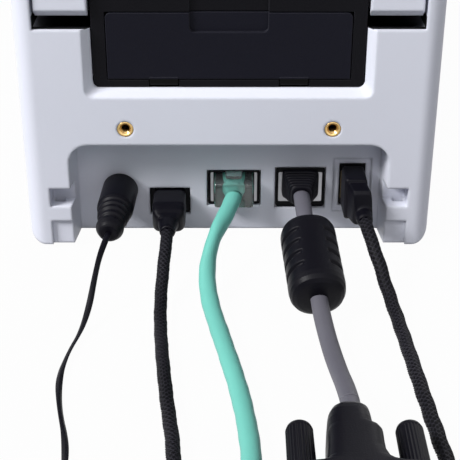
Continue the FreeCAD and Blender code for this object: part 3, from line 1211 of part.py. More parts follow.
def coil(name, route, sense, diameter_name, inner, turns, layers, tail, tail_drop):
    """A coil from the end of a lead that goes to +Y: it spirals in and out in layers, then runs off.

    sense is 1 for turns that keep the centre to the left of the way and -1 for the right. One layer has
    the given turns, and the climb to the next takes the half turn where the spiral reverses.
    """
    diameter, inner = value(diameter_name), value(inner)
    tail, tail_drop = value(tail), value(tail_drop)
    pitch = rise = diameter + value("coil_gap")
    begin = vectors(route)[-1] + Y_AXIS * diameter
    outer = inner + pitch * turns
    centre = begin + FreeCAD.Vector(-sense * outer, 0, 0)
    first_angle = 0 if sense > 0 else math.pi

    def spot(turn):
        leg = int(min(turn / turns, layers - 1e-9))
        share = turn - leg * turns
        radius = outer - pitch * share if leg % 2 == 0 else inner + pitch * share
        climbed = sum(min(1, max(0, (turn - turns * (layer + 1)) * 2 + 0.5)) for layer in range(layers - 1))
        angle = first_angle + sense * 2 * math.pi * turn
        flat = FreeCAD.Vector(math.cos(angle), math.sin(angle), 0) * radius
        return centre + flat + Z_AXIS * (rise * climbed)

    def way(turn):
        angle = first_angle + sense * 2 * math.pi * turn
        flat = FreeCAD.Vector(-math.sin(angle), math.cos(angle), 0) * sense
        if turn < SAME or turn > turns * layers - SAME:
            return flat
        step = 0.02
        slant = (spot(turn + step) - spot(turn - step))
        slant.normalize()
        return slant

    stops = {0.0, turns * layers}
    for layer in range(1, layers):
        for quarter in range(-400, 401):
            turn = turns * layer + quarter * 0.25
            if 0.06 < turn < turns * layers - 0.06:
                stops.add(round(turn, 6))
    stops = sorted(stops)
    edges = [Part.LineSegment(begin - Y_AXIS * diameter, begin).toShape()]
    for low, high in zip(stops, stops[1:]):
        edges += biarc(spot(low), way(low), spot(high), way(high))
    end, off = spot(turns * layers), way(turns * layers)
    rest = end + off * tail - Z_AXIS * tail_drop
    if tail:
        edges += biarc(end, off, rest, off)
    edges.append(Part.LineSegment(rest, rest + off * diameter).toShape())
    least = self_gap([spot(turns * layers * index / 1500) for index in range(1501)], diameter)
    print("%s: outer radius %.1f mm, least gap to itself %.2f mm" % (name, outer + diameter / 2, least))
    print("%s: centre (%.2f, %.2f), end (%.2f, %.2f, %.2f)" % (
        name, centre.x, centre.y, *edges[-1].Vertexes[-1].Point))
    swept(name, edges, diameter)
    return rest + off * diameter, off


def self_gap(points, diameter):
    """The least gap between stretches of one tube that are more than four diameters of path apart."""
    step = (points[1] - points[0]).Length
    skip = max(2, int(4 * diameter / step))
    least = math.inf
    for index in range(0, len(points), 3):
        for other in range(index + skip, len(points)):
            least = min(least, points[index].distanceToPoint(points[other]))
    return least - diameter


# Pieces on the leads
def ferrite_bead():
    top = vectors(SERIAL_UPPER_ROUTE)[-1]
    span = vectors(SERIAL_LOWER_ROUTE)[0] - top
    long = "%.6f" % span.Length
    outline = [("0.001", "0"), ("bead_radius - bead_round", "0"), ("bead_radius", "bead_round")]
    for index in range(round(value("bead_grooves"))):
        middle = "%s * %g" % (long, 0.2 + 0.2 * index)
        for radius, shift in (("bead_radius", "-"), ("bead_radius - bead_groove", "-"),
                              ("bead_radius - bead_groove", "+"), ("bead_radius", "+")):
            reach = "bead_groove_wide / 2" if radius == "bead_radius" else "bead_groove_wide / 4"
            outline.append((radius, middle + " " + shift + " " + reach))
    outline += [("bead_radius", long + " - bead_round"), ("bead_radius - bead_round", long), ("0.001", long)]
    body = turned(outline)
    body.Placement = FreeCAD.Placement(top, FreeCAD.Rotation(Z_AXIS, span))
    return body


HOOD = tuple("(%g)" % number for number in vectors(SERIAL_LOWER_ROUTE)[-1])
HOOD_FLAT = HOOD[1] + " + hood_relief_long + hood_neck_long + hood_long"


def serial_hood():
    middle, back, level = HOOD
    relief = rod("y", (middle, back, level), "hood_relief_radius", "hood_relief_long + 1")
    neck_back = back + " + hood_relief_long"
    low = level + " - hood_high / 2 + 0.4"
    high = level + " + hood_high / 2 + 0.4"
    neck = block((middle + " - hood_neck_w / 2", neck_back, low),
                 (middle + " + hood_neck_w / 2", neck_back + " + hood_neck_long + 1", high), "2")
    head = block((middle + " - hood_w / 2", neck_back + " + hood_neck_long", low),
                 (middle + " + hood_w / 2", neck_back + " + hood_neck_long + hood_long", high), "2")
    holes = [rod("y", (middle + " %s thumb_spacing / 2" % side, neck_back, level), "thumb_screw + 0.2",
                 "hood_neck_long + hood_long + 2") for side in "+-"]
    return without(joined(relief, neck, head), *holes)


def serial_metal():
    """The shield of the nine-way plug with its pins."""
    middle, back, level = HOOD
    half, high = "dsub_w / 2", "dsub_high / 2"
    shell = block((middle + " - " + half, HOOD_FLAT, level + " - " + high),
                  (middle + " + " + half, HOOD_FLAT + " + dsub_long", level + " + " + high), "2.4")
    half, high = "(dsub_w / 2 - dsub_wall)", "(dsub_high / 2 - dsub_wall)"
    hollow = block((middle + " - " + half, HOOD_FLAT + " + 1", level + " - " + high),
                   (middle + " + " + half, HOOD_FLAT + " + dsub_long + 1", level + " + " + high), "1.6")
    pins = []
    for row, count in ((1.4, 5), (-1.4, 4)):
        for index in range(count):
            across = middle + " + (%g)" % ((index - (count - 1) / 2) * 2.77)
            pins.append(rod("y", (across, HOOD_FLAT + " + 0.5", level + " + (%g)" % row), "0.5",
                            "dsub_long - 1"))
    return joined(without(shell, hollow), *pins)


def serial_screws():
    """The two thumb screws of the nine-way plug."""
    middle, back, level = HOOD
    start = back + " + hood_relief_long + hood_neck_long - thumb_long - 0.3"
    screws = []
    for side in "+-":
        centre = middle + " %s thumb_spacing / 2" % side
        head = rod("y", (centre, start, level), "thumb_radius", "thumb_long")
        shank = rod("y", (centre, start + " + thumb_long - 1", level), "thumb_screw", "thumb_reach + 1")
        screws.append(joined(head, shank))
    return grouped(*screws)


def power_adapter():
    middle, back, level = ("(%g)" % number for number in vectors(DC_TAIL_ROUTE)[-1])
    start = back + " + adapter_relief_long"
    half = "adapter_w / 2"
    brick = rounded(box((middle + " - " + half, start, "0.2"),
                        (middle + " + " + half, start + " + adapter_long", "adapter_high + 0.2")),
                    ("adapter_round", lambda edge: True))
    relief = cone("y", (middle, back, level), "dc_lead_d / 2 + 0.8", "adapter_relief_radius",
                  "adapter_relief_long + 1")
    far = start + " + adapter_long"
    inlet = block((middle + " - inlet_w / 2", far + " - inlet_deep", level + " - inlet_high / 2"),
                  (middle + " + inlet_w / 2", far + " + 1", level + " + inlet_high / 2"), "4")
    pins = [rod("y", (middle + " + (%g)" % across, far + " - inlet_deep - 1", level), "inlet_pin",
                "inlet_deep") for across in (-4.3, 4.3)]
    return joined(without(joined(brick, relief), inlet), *pins)


def end_plug(end, way, mould, shell):
    """A plug in line with a lead's end: a rounded mould and its metal shell."""
    wide, high, long = (value(text) for text in mould)
    shell_wide, shell_high, shell_long = (value(text) for text in shell)
    grip = Part.makeBox(wide, long, high, FreeCAD.Vector(-wide / 2, 0, -high / 2))
    grip = grip.makeFillet(min(1.6, high / 4), [edge for edge in grip.Edges if edge.BoundBox.YLength > 1])
    spot = FreeCAD.Vector(-shell_wide / 2, long - 1, -shell_high / 2)
    metal = Part.makeBox(shell_wide, shell_long + 1, shell_high, spot)
    item = doc.addObject("Part::Feature", "Plug")
    item.Shape = grip.fuse(metal).removeSplitter()
    item.Placement = FreeCAD.Placement(end, FreeCAD.Rotation(Y_AXIS, way))
    return item


# The printer's pieces
node("lower_case", lower_case())
node("base_plate", base_plate())
node("base_screws", base_screws())
node("rubber_feet", rubber_feet())
node("brass_inserts", brass_inserts())
node("inner_tub", inner_tub())
node("rear_door", rear_door())
node("main_board", main_board())
node("dc_jack", dc_jack())
node("usb_b_socket", socket("usb_b", "usb_b_shell_w + 0.6", "usb_b_shell_h + 0.5"))
node("lan_socket", socket("lan", "lan_plug_w + 0.6", "lan_plug_h + 2 * lan_latch_lift"))
node("serial_socket", socket("serial", "serial_tip_w + 0.6", "serial_tip_h + 0.8"))
node("usb_a_socket", socket("usb_a", "usb_a_shell_w + 0.5", "usb_a_shell_h + 0.5"))
node("mechanism_frame", mechanism_frame())
node("platen_shaft", platen_shaft())
node("platen_rubber", platen_rubber())
node("platen_bushes", platen_bushes())
platen_gear, idler_gear, pinion_wheel = gear_train()
node("platen_gear", platen_gear)
node("idler_gear", idler_gear)
node("motor", motor())
node("motor_pinion", motor_pinion(pinion_wheel))
right_guide = node("right_media_guide", media_guide())
node("left_media_guide", half_turned(right_guide))
node("guide_pinion", guide_pinion())
node("control_panel", control_panel())
node("power_button", press_button(""))
node("feed_button", press_button("-"))
node("status_light", status_light())
node("tear_bar", tear_bar())
skin = lid_skin()
node("lid_shell", lid_shell(skin))
node("lid_window", lid_window(skin))
node("lid_inner_frame", lid_inner_frame())
node("hinge_pins", hinge_pins())
node("print_head", print_head())
right_release = node("right_release", release())
node("left_release", mirrored(right_release))

# The leads and what is on them
node("dc_plug", dc_plug())
lead("dc_lead", DC_ROUTE, "dc_lead_d")
coil("dc_coil", DC_ROUTE, -1, "dc_lead_d", "dc_coil_inner", 3.5, 4, "0", "0")
lead("dc_tail", DC_TAIL_ROUTE, "dc_lead_d")
node("power_adapter", power_adapter())
node("usb_b_plug", usb_b_plug())
lead("usb_b_lead", USB_B_ROUTE, "usb_b_lead_d")
usb_b_end = coil("usb_b_coil", USB_B_ROUTE, 1, "usb_b_lead_d", "usb_b_coil_inner", 2.625, 2, "usb_b_tail",
                 "usb_b_tail_drop")
node("usb_b_far_plug", end_plug(*usb_b_end, ("usb_plug_w", "usb_plug_h", "usb_plug_long"),
                                ("usb_shell_w", "usb_shell_h", "usb_shell_long")))
node("lan_plug", lan_plug())
lead("lan_lead", LAN_ROUTE, "lan_lead_d")
lan_end = coil("lan_coil", LAN_ROUTE, 1, "lan_lead_d", "lan_coil_inner", 2.125, 2, "lan_tail",
               "lan_tail_drop")
node("lan_far_plug", end_plug(*lan_end, ("lan_plug_w", "lan_plug_h", "lan_plug_out + lan_plug_in"),
                              ("lan_plug_w - 1.6", "lan_plug_h - 2", "1")))
node("serial_plug", serial_plug())
lead("serial_lead_upper", SERIAL_UPPER_ROUTE, "serial_lead_d")
node("ferrite_bead", ferrite_bead())
lead("serial_lead_lower", SERIAL_LOWER_ROUTE, "serial_lead_d")
node("serial_hood", serial_hood())
node("serial_metal", serial_metal())
node("serial_screws", serial_screws())
node("usb_a_plug", usb_a_plug())
lead("usb_a_lead", USB_A_ROUTE, "usb_a_lead_d")
usb_a_end = coil("usb_a_coil", USB_A_ROUTE, -1, "usb_a_lead_d", "usb_a_coil_inner", 3.5, 2, "usb_a_tail",
                 "usb_a_tail_drop")
node("usb_a_far_plug", end_plug(*usb_a_end, ("c_plug_w", "c_plug_h", "c_plug_long"),
                                ("c_shell_w", "c_shell_h", "c_shell_long")))

# Check every piece, then write it
doc.recompute()
for item in doc.Objects:
    if "Invalid" in item.State or "Error" in item.State:
        raise RuntimeError("failed: %s (%s)" % (item.Label, item.Name))
os.makedirs("parts", exist_ok=True)
for item in nodes:
    if item.Shape.isNull() or not item.Shape.isValid():
        raise RuntimeError("bad shape: " + item.Label)
    print("%s: %d solids, %.0f cubic mm" % (item.Label, len(item.Shape.Solids), item.Shape.Volume))
for item in nodes:
    item.Shape.exportStep("parts/%s.step" % item.Label)
print("%d nodes written" % len(nodes))
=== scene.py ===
# %% [markdown]
# # A desktop label printer from behind
# The real object is a white moulded printer with five leads plugged into a bay in its rear wall. The
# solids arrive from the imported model, already in place, so every new piece is drawn in the same metres.
# The camera comes first, because each later choice is judged through it.

# %% Load the frame
import bmesh
import bpy
import math
import numpy as np
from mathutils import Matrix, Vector


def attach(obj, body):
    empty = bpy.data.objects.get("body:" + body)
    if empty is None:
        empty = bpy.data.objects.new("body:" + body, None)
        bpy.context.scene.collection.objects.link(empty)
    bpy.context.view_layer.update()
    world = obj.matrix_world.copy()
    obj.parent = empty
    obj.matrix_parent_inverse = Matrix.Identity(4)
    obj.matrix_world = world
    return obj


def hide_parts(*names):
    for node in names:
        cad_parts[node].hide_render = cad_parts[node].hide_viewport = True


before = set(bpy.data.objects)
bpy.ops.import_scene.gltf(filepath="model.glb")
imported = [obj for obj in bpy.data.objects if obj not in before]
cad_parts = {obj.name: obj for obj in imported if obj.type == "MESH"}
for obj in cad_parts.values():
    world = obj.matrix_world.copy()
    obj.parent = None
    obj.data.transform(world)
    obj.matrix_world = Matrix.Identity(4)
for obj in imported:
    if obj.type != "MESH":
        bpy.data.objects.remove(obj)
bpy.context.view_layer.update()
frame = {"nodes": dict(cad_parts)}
MM = 0.001

# %% [markdown]
# ## Camera
# The photograph looks down at the rear wall by 29 degrees, from close by, so lines that run towards the
# viewer spread apart. A lens of about 94 mm gives the same spread, and image right is the -X side.

# %% Camera
scene = bpy.context.scene
lens = bpy.data.cameras.new("camera")
lens.lens = 93.9
lens.sensor_width = 36
lens.clip_start = 0.01
camera = bpy.data.objects.new("camera", lens)
scene.collection.objects.link(camera)
camera.location = (-0.0003, 0.41466, 0.17937)
look = Vector((-0.0003, 0.0928, 0.00096)) - camera.location
camera.rotation_euler = look.to_track_quat("-Z", "Y").to_euler()
scene.camera = camera
print("camera looks down by", round(math.degrees(math.asin(-look.normalized().z)), 1))

# %% [markdown]
# ## Floor and light
# A catalogue photograph is taken on a bright sweep with large soft lamps. The floor shows white to the
# camera but still takes the shadow, and a big lamp from the +X side shades the far faces of the bay.

# %% Floor, world and lamps
floor_mesh = bpy.data.meshes.new("floor")
floor_mesh.from_pydata([(-3, -3, 0), (3, -3, 0), (3, 3, 0), (-3, 3, 0)], [], [(0, 1, 2, 3)])
floor = bpy.data.objects.new("floor", floor_mesh)
scene.collection.objects.link(floor)


def sums(tree, operation, first, second):
    """One maths node whose inputs are sockets or numbers."""
    item = tree.nodes.new("ShaderNodeMath")
    item.operation = operation
    for socket, source in zip(item.inputs, (first, second)):
        if isinstance(source, (int, float)):
            socket.default_value = source
        else:
            tree.links.new(source, socket)
    return item.outputs[0]


def white_to_camera(tree, shader, share):
    """Mix a shader with plain white that only straight, mirrored and refracted sight meets."""
    path = tree.nodes.new("ShaderNodeLightPath")
    glow = tree.nodes.new("ShaderNodeEmission")
    sight = sums(tree, "MAXIMUM", path.outputs["Is Camera Ray"], path.outputs["Is Glossy Ray"])
    sight = sums(tree, "MAXIMUM", sight, path.outputs["Is Transmission Ray"])
    blend = tree.nodes.new("ShaderNodeMixShader")
    tree.links.new(sums(tree, "MULTIPLY", sight, share), blend.inputs[0])
    tree.links.new(shader.outputs[0], blend.inputs[1])
    tree.links.new(glow.outputs[0], blend.inputs[2])
    return blend.outputs[0]


floor_paint = bpy.data.materials.new("floor_paint")
floor_paint.use_nodes = True
tree = floor_paint.node_tree
tree.nodes.clear()
matt = tree.nodes.new("ShaderNodeBsdfDiffuse")
matt.inputs["Color"].default_value = (0.32, 0.32, 0.335, 1)
out = tree.nodes.new("ShaderNodeOutputMaterial")
tree.links.new(white_to_camera(tree, matt, 0.975), out.inputs[0])
floor_mesh.materials.append(floor_paint)

world = bpy.data.worlds.new("world")
world.use_nodes = True
scene.world = world
sky = world.node_tree.nodes["Background"]
sky.inputs["Color"].default_value = (0.9, 0.93, 1.0, 1)
sky.inputs["Strength"].default_value = 0.09
over = white_to_camera(world.node_tree, sky, 1.0)
world.node_tree.links.new(over, world.node_tree.nodes["World Output"].inputs[0])


def lamp(name, place, target, size, watts):
    """A square soft lamp turned towards a point."""
    data = bpy.data.lights.new(name, "AREA")
    data.size = size
    data.energy = watts
    item = bpy.data.objects.new(name, data)
    scene.collection.objects.link(item)
    item.location = place
    way = Vector(target) - Vector(place)
    item.rotation_euler = way.to_track_quat("-Z", "Y").to_euler()


BAY = (0, 0.1, 0.04)
lamp("key", (1.4, 0.8, 1.35), BAY, 0.7, 53.0)
lamp("overhead", (0.05, 0.7, 0.8), BAY, 0.7, 2.2)
lamp("fill", (-0.6, 0.7, 0.35), BAY, 0.8, 1.05)
lamp("front", (-0.2, -0.9, 0.7), (0, 0, 0.06), 0.8, 5.0)

# %% [markdown]
# ## Finishes
# Moulded plastic is never one flat colour: it has a fine spark-eroded grain, slow changes of tone where it
# has been handled, and a roughness that follows both. One node group makes those values from object
# coordinates, and each material uses them at its own scale. A second group turns the normal near sharp edges,
# because the edges of a real moulding are rounded a little and catch the light; it also marks those edges,
# where the black finishes get a painted highlight.

# %% Grain group, eased edges and plain finishes
PAINT = {}
# Places of the colour sockets on a mix node.
MIX_FIRST, MIX_SECOND, MIX_COLOUR = 6, 7, 2
ROUGH_SPREAD = 0.15
GRAIN_HEIGHT = 0.0002


def new_group(name, inputs, outputs):
    """An empty shader node group with float inputs, outputs of the given kinds, and its two end nodes."""
    group = bpy.data.node_groups.new(name, "ShaderNodeTree")
    for label, number in inputs:
        socket = group.interface.new_socket(label, in_out="INPUT", socket_type="NodeSocketFloat")
        socket.default_value = number
    for label, kind in outputs:
        group.interface.new_socket(label, in_out="OUTPUT", socket_type="NodeSocket" + kind)
    return group, group.nodes.new("NodeGroupInput"), group.nodes.new("NodeGroupOutput")


def blend_colour(tree, share, first, second):
    """One colour mix: first where the share is 0, second where it is 1, each a colour or a socket."""
    item = tree.nodes.new("ShaderNodeMix")
    item.data_type = "RGBA"
    tree.links.new(share, item.inputs[0])
    for place, source in ((MIX_FIRST, first), (MIX_SECOND, second)):
        if isinstance(source, tuple):
            item.inputs[place].default_value = (*source, 1)
        else:
            tree.links.new(source, item.inputs[place])
    return item.outputs[MIX_COLOUR]


grain_group, ins, outs = new_group("moulded_grain", [("Scale", 3000.0)],
                                   [("Height", "Float"), ("Tone", "Float")])
spot = grain_group.nodes.new("ShaderNodeTexCoord")
fine = grain_group.nodes.new("ShaderNodeTexNoise")
fine.inputs["Detail"].default_value = 3
broad = grain_group.nodes.new("ShaderNodeTexNoise")
broad.inputs["Scale"].default_value = 28
broad.inputs["Detail"].default_value = 4
grain_group.links.new(spot.outputs["Object"], fine.inputs["Vector"])
grain_group.links.new(spot.outputs["Object"], broad.inputs["Vector"])
grain_group.links.new(ins.outputs["Scale"], fine.inputs["Scale"])
grain_group.links.new(fine.outputs["Fac"], outs.inputs["Height"])
grain_group.links.new(broad.outputs["Fac"], outs.inputs["Tone"])

edge_group, ins, outs = new_group("eased_edge", [("Radius", 0.0)],
                                  [("Normal", "Vector"), ("Edge", "Float")])
ease = edge_group.nodes.new("ShaderNodeBevel")
ease.samples = 6
face = edge_group.nodes.new("ShaderNodeNewGeometry")
match = edge_group.nodes.new("ShaderNodeVectorMath")
match.operation = "DOT_PRODUCT"
turned = edge_group.nodes.new("ShaderNodeMapRange")
turned.inputs["From Min"].default_value = 0.98
turned.inputs["From Max"].default_value = 0.75
edge_group.links.new(ins.outputs["Radius"], ease.inputs["Radius"])
edge_group.links.new(ease.outputs[0], match.inputs[0])
edge_group.links.new(face.outputs["Normal"], match.inputs[1])
edge_group.links.new(match.outputs["Value"], turned.inputs["Value"])
edge_group.links.new(ease.outputs[0], outs.inputs["Normal"])
edge_group.links.new(turned.outputs[0], outs.inputs["Edge"])


def finish(name, colour, rough, scale=3000.0, depth=0.12, tone=0.08, metal=0.0, coat=0.0, clear=0.0,
           shine=0.5, soft=0.0, painted_edge_highlight=None):
    """A moulded or metal finish: grain in the bump, slow tone in colour and roughness, edges eased by soft mm
    and, where a highlight colour is given, a painted highlight along them."""
    item = bpy.data.materials.new(name + "_finish")
    item.use_nodes = True
    tree = item.node_tree
    shader = tree.nodes["Principled BSDF"]
    grain = tree.nodes.new("ShaderNodeGroup")
    grain.node_tree = grain_group
    grain.inputs["Scale"].default_value = scale
    paint = blend_colour(tree, grain.outputs["Tone"], tuple(part * (1 - tone) for part in colour),
                         tuple(min(1, part * (1 + tone)) for part in colour))
    polish = tree.nodes.new("ShaderNodeMapRange")
    polish.inputs["To Min"].default_value = rough * (1 - ROUGH_SPREAD)
    polish.inputs["To Max"].default_value = min(1, rough * (1 + ROUGH_SPREAD))
    bump = tree.nodes.new("ShaderNodeBump")
    bump.inputs["Strength"].default_value = depth
    bump.inputs["Distance"].default_value = GRAIN_HEIGHT
    tree.links.new(grain.outputs["Tone"], polish.inputs["Value"])
    tree.links.new(grain.outputs["Height"], bump.inputs["Height"])
    tree.links.new(polish.outputs[0], shader.inputs["Roughness"])
    tree.links.new(bump.outputs[0], shader.inputs["Normal"])
    if soft:
        edge = tree.nodes.new("ShaderNodeGroup")
        edge.node_tree = edge_group
        edge.inputs["Radius"].default_value = soft * MM
        tree.links.new(edge.outputs["Normal"], bump.inputs["Normal"])
        # A given colour is a painted highlight on the eased edges, where they catch the light.
        if painted_edge_highlight:
            paint = blend_colour(tree, edge.outputs["Edge"], paint, painted_edge_highlight)
    tree.links.new(paint, shader.inputs["Base Color"])
    shader.inputs["Metallic"].default_value = metal
    shader.inputs["Specular IOR Level"].default_value = shine
    shader.inputs["Coat Weight"].default_value = coat
    shader.inputs["Transmission Weight"].default_value = clear
    PAINT[name] = item
    return item


WHITE = (0.70, 0.715, 0.80)
finish("white_plastic", WHITE, 0.45, 2600, 0.14, 0.02, shine=0.35, soft=1.1)
finish("lid_plastic", WHITE, 0.45, 2600, 0.14, 0.02, shine=0.35, soft=1.1)
# The black finishes carry a painted highlight along their edges.
finish("black_plastic", (0.0035, 0.0033, 0.005), 0.5, 2200, 0.2, 0.12, shine=0.1, soft=0.35,
       painted_edge_highlight=(0.03, 0.03, 0.037))
finish("door_plastic", (0.0068, 0.0068, 0.0122), 0.5, 2200, 0.2, 0.12, shine=0.1, soft=0.35,
       painted_edge_highlight=(0.032, 0.032, 0.042))
finish("smoked_window", (0.006, 0.006, 0.009), 0.15, 900, 0.02, 0.1, coat=0.15, shine=0.3, soft=0.4)
finish("grey_plastic", (0.25, 0.25, 0.27), 0.45, 2400, 0.15, 0.04)
finish("button_plastic", (0.35, 0.36, 0.39), 0.4, 2400, 0.12, 0.04)
finish("light_plastic", (0.5, 0.8, 0.55), 0.3, 1500, 0.05, 0.05, coat=0.3)
finish("gear_plastic", (0.8, 0.78, 0.7), 0.38, 1800, 0.08, 0.04)
finish("board_green", (0.02, 0.12, 0.05), 0.35, 1600, 0.1, 0.2, coat=0.4)
finish("socket_metal", (0.33, 0.33, 0.35), 0.34, 700, 0.6, 0.45, metal=1)
finish("socket_black", (0.003, 0.003, 0.004), 0.5, 2200, 0.15, 0.15, shine=0.08)
finish("steel", (0.55, 0.55, 0.57), 0.36, 1200, 0.1, 0.08, metal=1)
finish("motor_steel", (0.22, 0.22, 0.24), 0.42, 1200, 0.1, 0.1, metal=1)
finish("brass", (0.74, 0.52, 0.24), 0.3, 1800, 0.12, 0.12, metal=1)
finish("platen_rubber", (0.02, 0.02, 0.02), 0.75, 2600, 0.3, 0.15)
finish("foot_rubber", (0.012, 0.012, 0.014), 0.8, 2000, 0.3, 0.15, shine=0.2)
finish("cord_black", (0.0038, 0.0036, 0.0065), 0.42, 1500, 0.12, 0.2, shine=0.12)
finish("cord_teal", (0.15, 0.49, 0.42), 0.5, 1300, 0.15, 0.07, shine=0.3)
finish("cord_grey", (0.108, 0.105, 0.127), 0.5, 1500, 0.15, 0.1, shine=0.3)
finish("plug_black", (0.0028, 0.0026, 0.005), 0.42, 2200, 0.16, 0.15, shine=0.1)
finish("plug_clear", (0.86, 0.93, 0.925), 0.05, 900, 0.02, 0.02, clear=0.95)
finish("plug_metal", (0.7, 0.7, 0.72), 0.25, 1500, 0.06, 0.06, metal=1)
finish("contact_brass", (0.2, 0.15, 0.08), 0.35, 1800, 0.12, 0.12, metal=1)
finish("insert_brass", (0.66, 0.45, 0.19), 0.28, 1800, 0.12, 0.12, metal=1)


def paint_shade_by_depth(name, axis, low, high, dark):
    """Paint shade on a finish along an axis: the dark colour under low, in millimetres, and its own over
    high.
    """
    tree = PAINT[name].node_tree
    colour = tree.nodes["Principled BSDF"].inputs["Base Color"]
    spot = tree.nodes.new("ShaderNodeTexCoord")
    parts = tree.nodes.new("ShaderNodeSeparateXYZ")
    reach = tree.nodes.new("ShaderNodeMapRange")
    reach.inputs["From Min"].default_value = low * MM
    reach.inputs["From Max"].default_value = high * MM
    tree.links.new(spot.outputs["Object"], parts.inputs[0])
    tree.links.new(parts.outputs[axis], reach.inputs["Value"])
    tree.links.new(blend_colour(tree, reach.outputs[0], dark, colour.links[0].from_socket), colour)


def paint_shade_in_box(name, middle, half, dark):
    """Paint shade on a finish inside a box with that middle and half size, in millimetres: there, the
    distance from the middle is less than the half size along all three axes."""
    tree = PAINT[name].node_tree
    colour = tree.nodes["Principled BSDF"].inputs["Base Color"]
    spot = tree.nodes.new("ShaderNodeTexCoord").outputs["Object"]
    for operation, vector in (("SUBTRACT", middle), ("ABSOLUTE", (0, 0, 0)), ("SUBTRACT", half)):
        step = tree.nodes.new("ShaderNodeVectorMath")
        step.operation = operation
        step.inputs[1].default_value = [size * MM for size in vector]
        tree.links.new(spot, step.inputs[0])
        spot = step.outputs[0]
    parts = tree.nodes.new("ShaderNodeSeparateXYZ")
    tree.links.new(spot, parts.inputs[0])
    most = sums(tree, "MAXIMUM", parts.outputs["X"], parts.outputs["Y"])
    most = sums(tree, "MAXIMUM", most, parts.outputs["Z"])
    inside = sums(tree, "LESS_THAN", most, 0)
    tree.links.new(blend_colour(tree, inside, colour.links[0].from_socket, dark), colour)


# Painted shade: the colour is darkened in the inserts' bores, deep in the sockets, at the door's foot and
# under the lid's arms.
paint_shade_by_depth("insert_brass", "Y", 100.6, 102.0, (0.13, 0.08, 0.03))
paint_shade_by_depth("socket_metal", "Y", 90.6, 91.6, (0.012, 0.012, 0.014))
paint_shade_by_depth("door_plastic", "Z", 53.3, 53.6, (0.0008, 0.0008, 0.001))
paint_shade_in_box("white_plastic", (0, 88, 70.2), (54.2, 13.5, 1.8), (0.004, 0.004, 0.005))
print("finishes", len(PAINT))

# %% [markdown]
# ## Woven sleeve
# Two of the leads wear a braided sleeve: bundles of thread wind both ways and pass over and under each other,
# and their crests catch the light in a herringbone of small bright flecks, painted into the colour as
# highlights. The weave follows the tube's own UV map, with the way round in U and metres along the lead in V,
# so it bends with the lead.

# %% Woven sleeve group and finish
FULL_TURN = 6.283
GLINT_POWER = 4.0
weave_group, ins, outs = new_group("woven_sleeve", [("Strands", 7.0), ("Per metre", 640.0)],
                                   [("Glint", "Float")])
uv_map = weave_group.nodes.new("ShaderNodeUVMap")
parts = weave_group.nodes.new("ShaderNodeSeparateXYZ")
weave_group.links.new(uv_map.outputs["UV"], parts.inputs[0])
turn = sums(weave_group, "MULTIPLY", parts.outputs["X"], ins.outputs["Strands"])
climb = sums(weave_group, "MULTIPLY", parts.outputs["Y"], ins.outputs["Per metre"])


def winding(operation):
    """Ridges that wind one way round the sleeve: the sine of the turn plus or minus the climb."""
    phase = sums(weave_group, "MULTIPLY", sums(weave_group, operation, turn, climb), FULL_TURN)
    return sums(weave_group, "SINE", phase, 0)


crest = sums(weave_group, "MAXIMUM", winding("ADD"), winding("SUBTRACT"))
crest = sums(weave_group, "MAXIMUM", crest, 0.0)
weave_group.links.new(sums(weave_group, "POWER", crest, GLINT_POWER), outs.inputs["Glint"])

tree = finish("braid_black", (0.004, 0.004, 0.005), 0.55, 2500, 0.2, 0.2, shine=0.1).node_tree
woven = tree.nodes.new("ShaderNodeGroup")
woven.node_tree = weave_group
# Painted light on the weave: bright glints on its crests and a darker colour between them.
thread = blend_colour(tree, woven.outputs["Glint"], (0.0016, 0.0015, 0.0026), (0.024, 0.023, 0.03))
tree.links.new(thread, tree.nodes["Principled BSDF"].inputs["Base Color"])
print("woven sleeve", len(weave_group.nodes), "nodes in its group")

# %% [markdown]
# ## Surfaces from grids
# Every new piece is a grid of points: rows run along it and columns go round it. The grid is worked out
# whole, as arrays, and becomes faces in one step, which is quick and keeps the shape in one formula.


def skin(name, grid, caps=True, length=None):
    """A mesh from a grid whose columns close round: each face joins four neighbouring points."""
    rows, columns = grid.shape[:2]
    index = np.arange(rows * columns).reshape(rows, columns)
    after = np.roll(index, -1, axis=1)
    quads = np.stack([index[:-1], index[1:], after[1:], after[:-1]], axis=-1).reshape(-1, 4)
    faces = quads.tolist()
    if caps:
        faces += [index[0].tolist(), index[-1, ::-1].tolist()]
    mesh = bpy.data.meshes.new(name)
    mesh.from_pydata(grid.reshape(-1, 3).tolist(), [], faces)
    along = np.arange(rows) / rows if length is None else length
    across = np.arange(columns)
    low = np.meshgrid(along[:-1], across, indexing="ij")
    high = np.meshgrid(along[1:], across, indexing="ij")
    u = np.stack([low[1], high[1], high[1] + 1, low[1] + 1], axis=-1) / columns
    v = np.stack([low[0], high[0], high[0], low[0]], axis=-1)
    spread = np.zeros((len(mesh.loops), 2), np.float32)
    spread[:u.size] = np.stack([u, v], axis=-1).reshape(-1, 2)
    mesh.uv_layers.new(name="UVMap").uv.foreach_set("vector", spread.ravel())
    mesh.polygons.foreach_set("use_smooth", np.arange(len(faces)) < len(quads))
    return outward(mesh)


def outward(mesh, merge=False):
    """Turn all faces of a closed mesh outwards, after joining its first and last rows where they meet."""
    work = bmesh.new()
    work.from_mesh(mesh)
    if merge:
        bmesh.ops.remove_doubles(work, verts=work.verts, dist=1e-7)
    bmesh.ops.recalc_face_normals(work, faces=work.faces)
    work.to_mesh(mesh)
    work.free()
    return mesh


def add(name, mesh, slot, nodes=(), body="case"):
    """Show a mesh with its slot's finish, on a body, in place of CAD nodes."""
    item = bpy.data.objects.new(name, mesh)
    scene.collection.objects.link(item)
    mesh.materials.append(PAINT[slot])
    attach(item, body)
    if nodes:
        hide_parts(*nodes)
    return item


def frames(path):
    """Two directions at each point of a path: to its side on the level, and upwards across it."""
    along = np.gradient(path, axis=0)
    along /= np.linalg.norm(along, axis=1, keepdims=True)
    side = np.cross(along, (0.0, 0.0, 1.0))
    side /= np.linalg.norm(side, axis=1, keepdims=True)
    return side, np.cross(side, along)


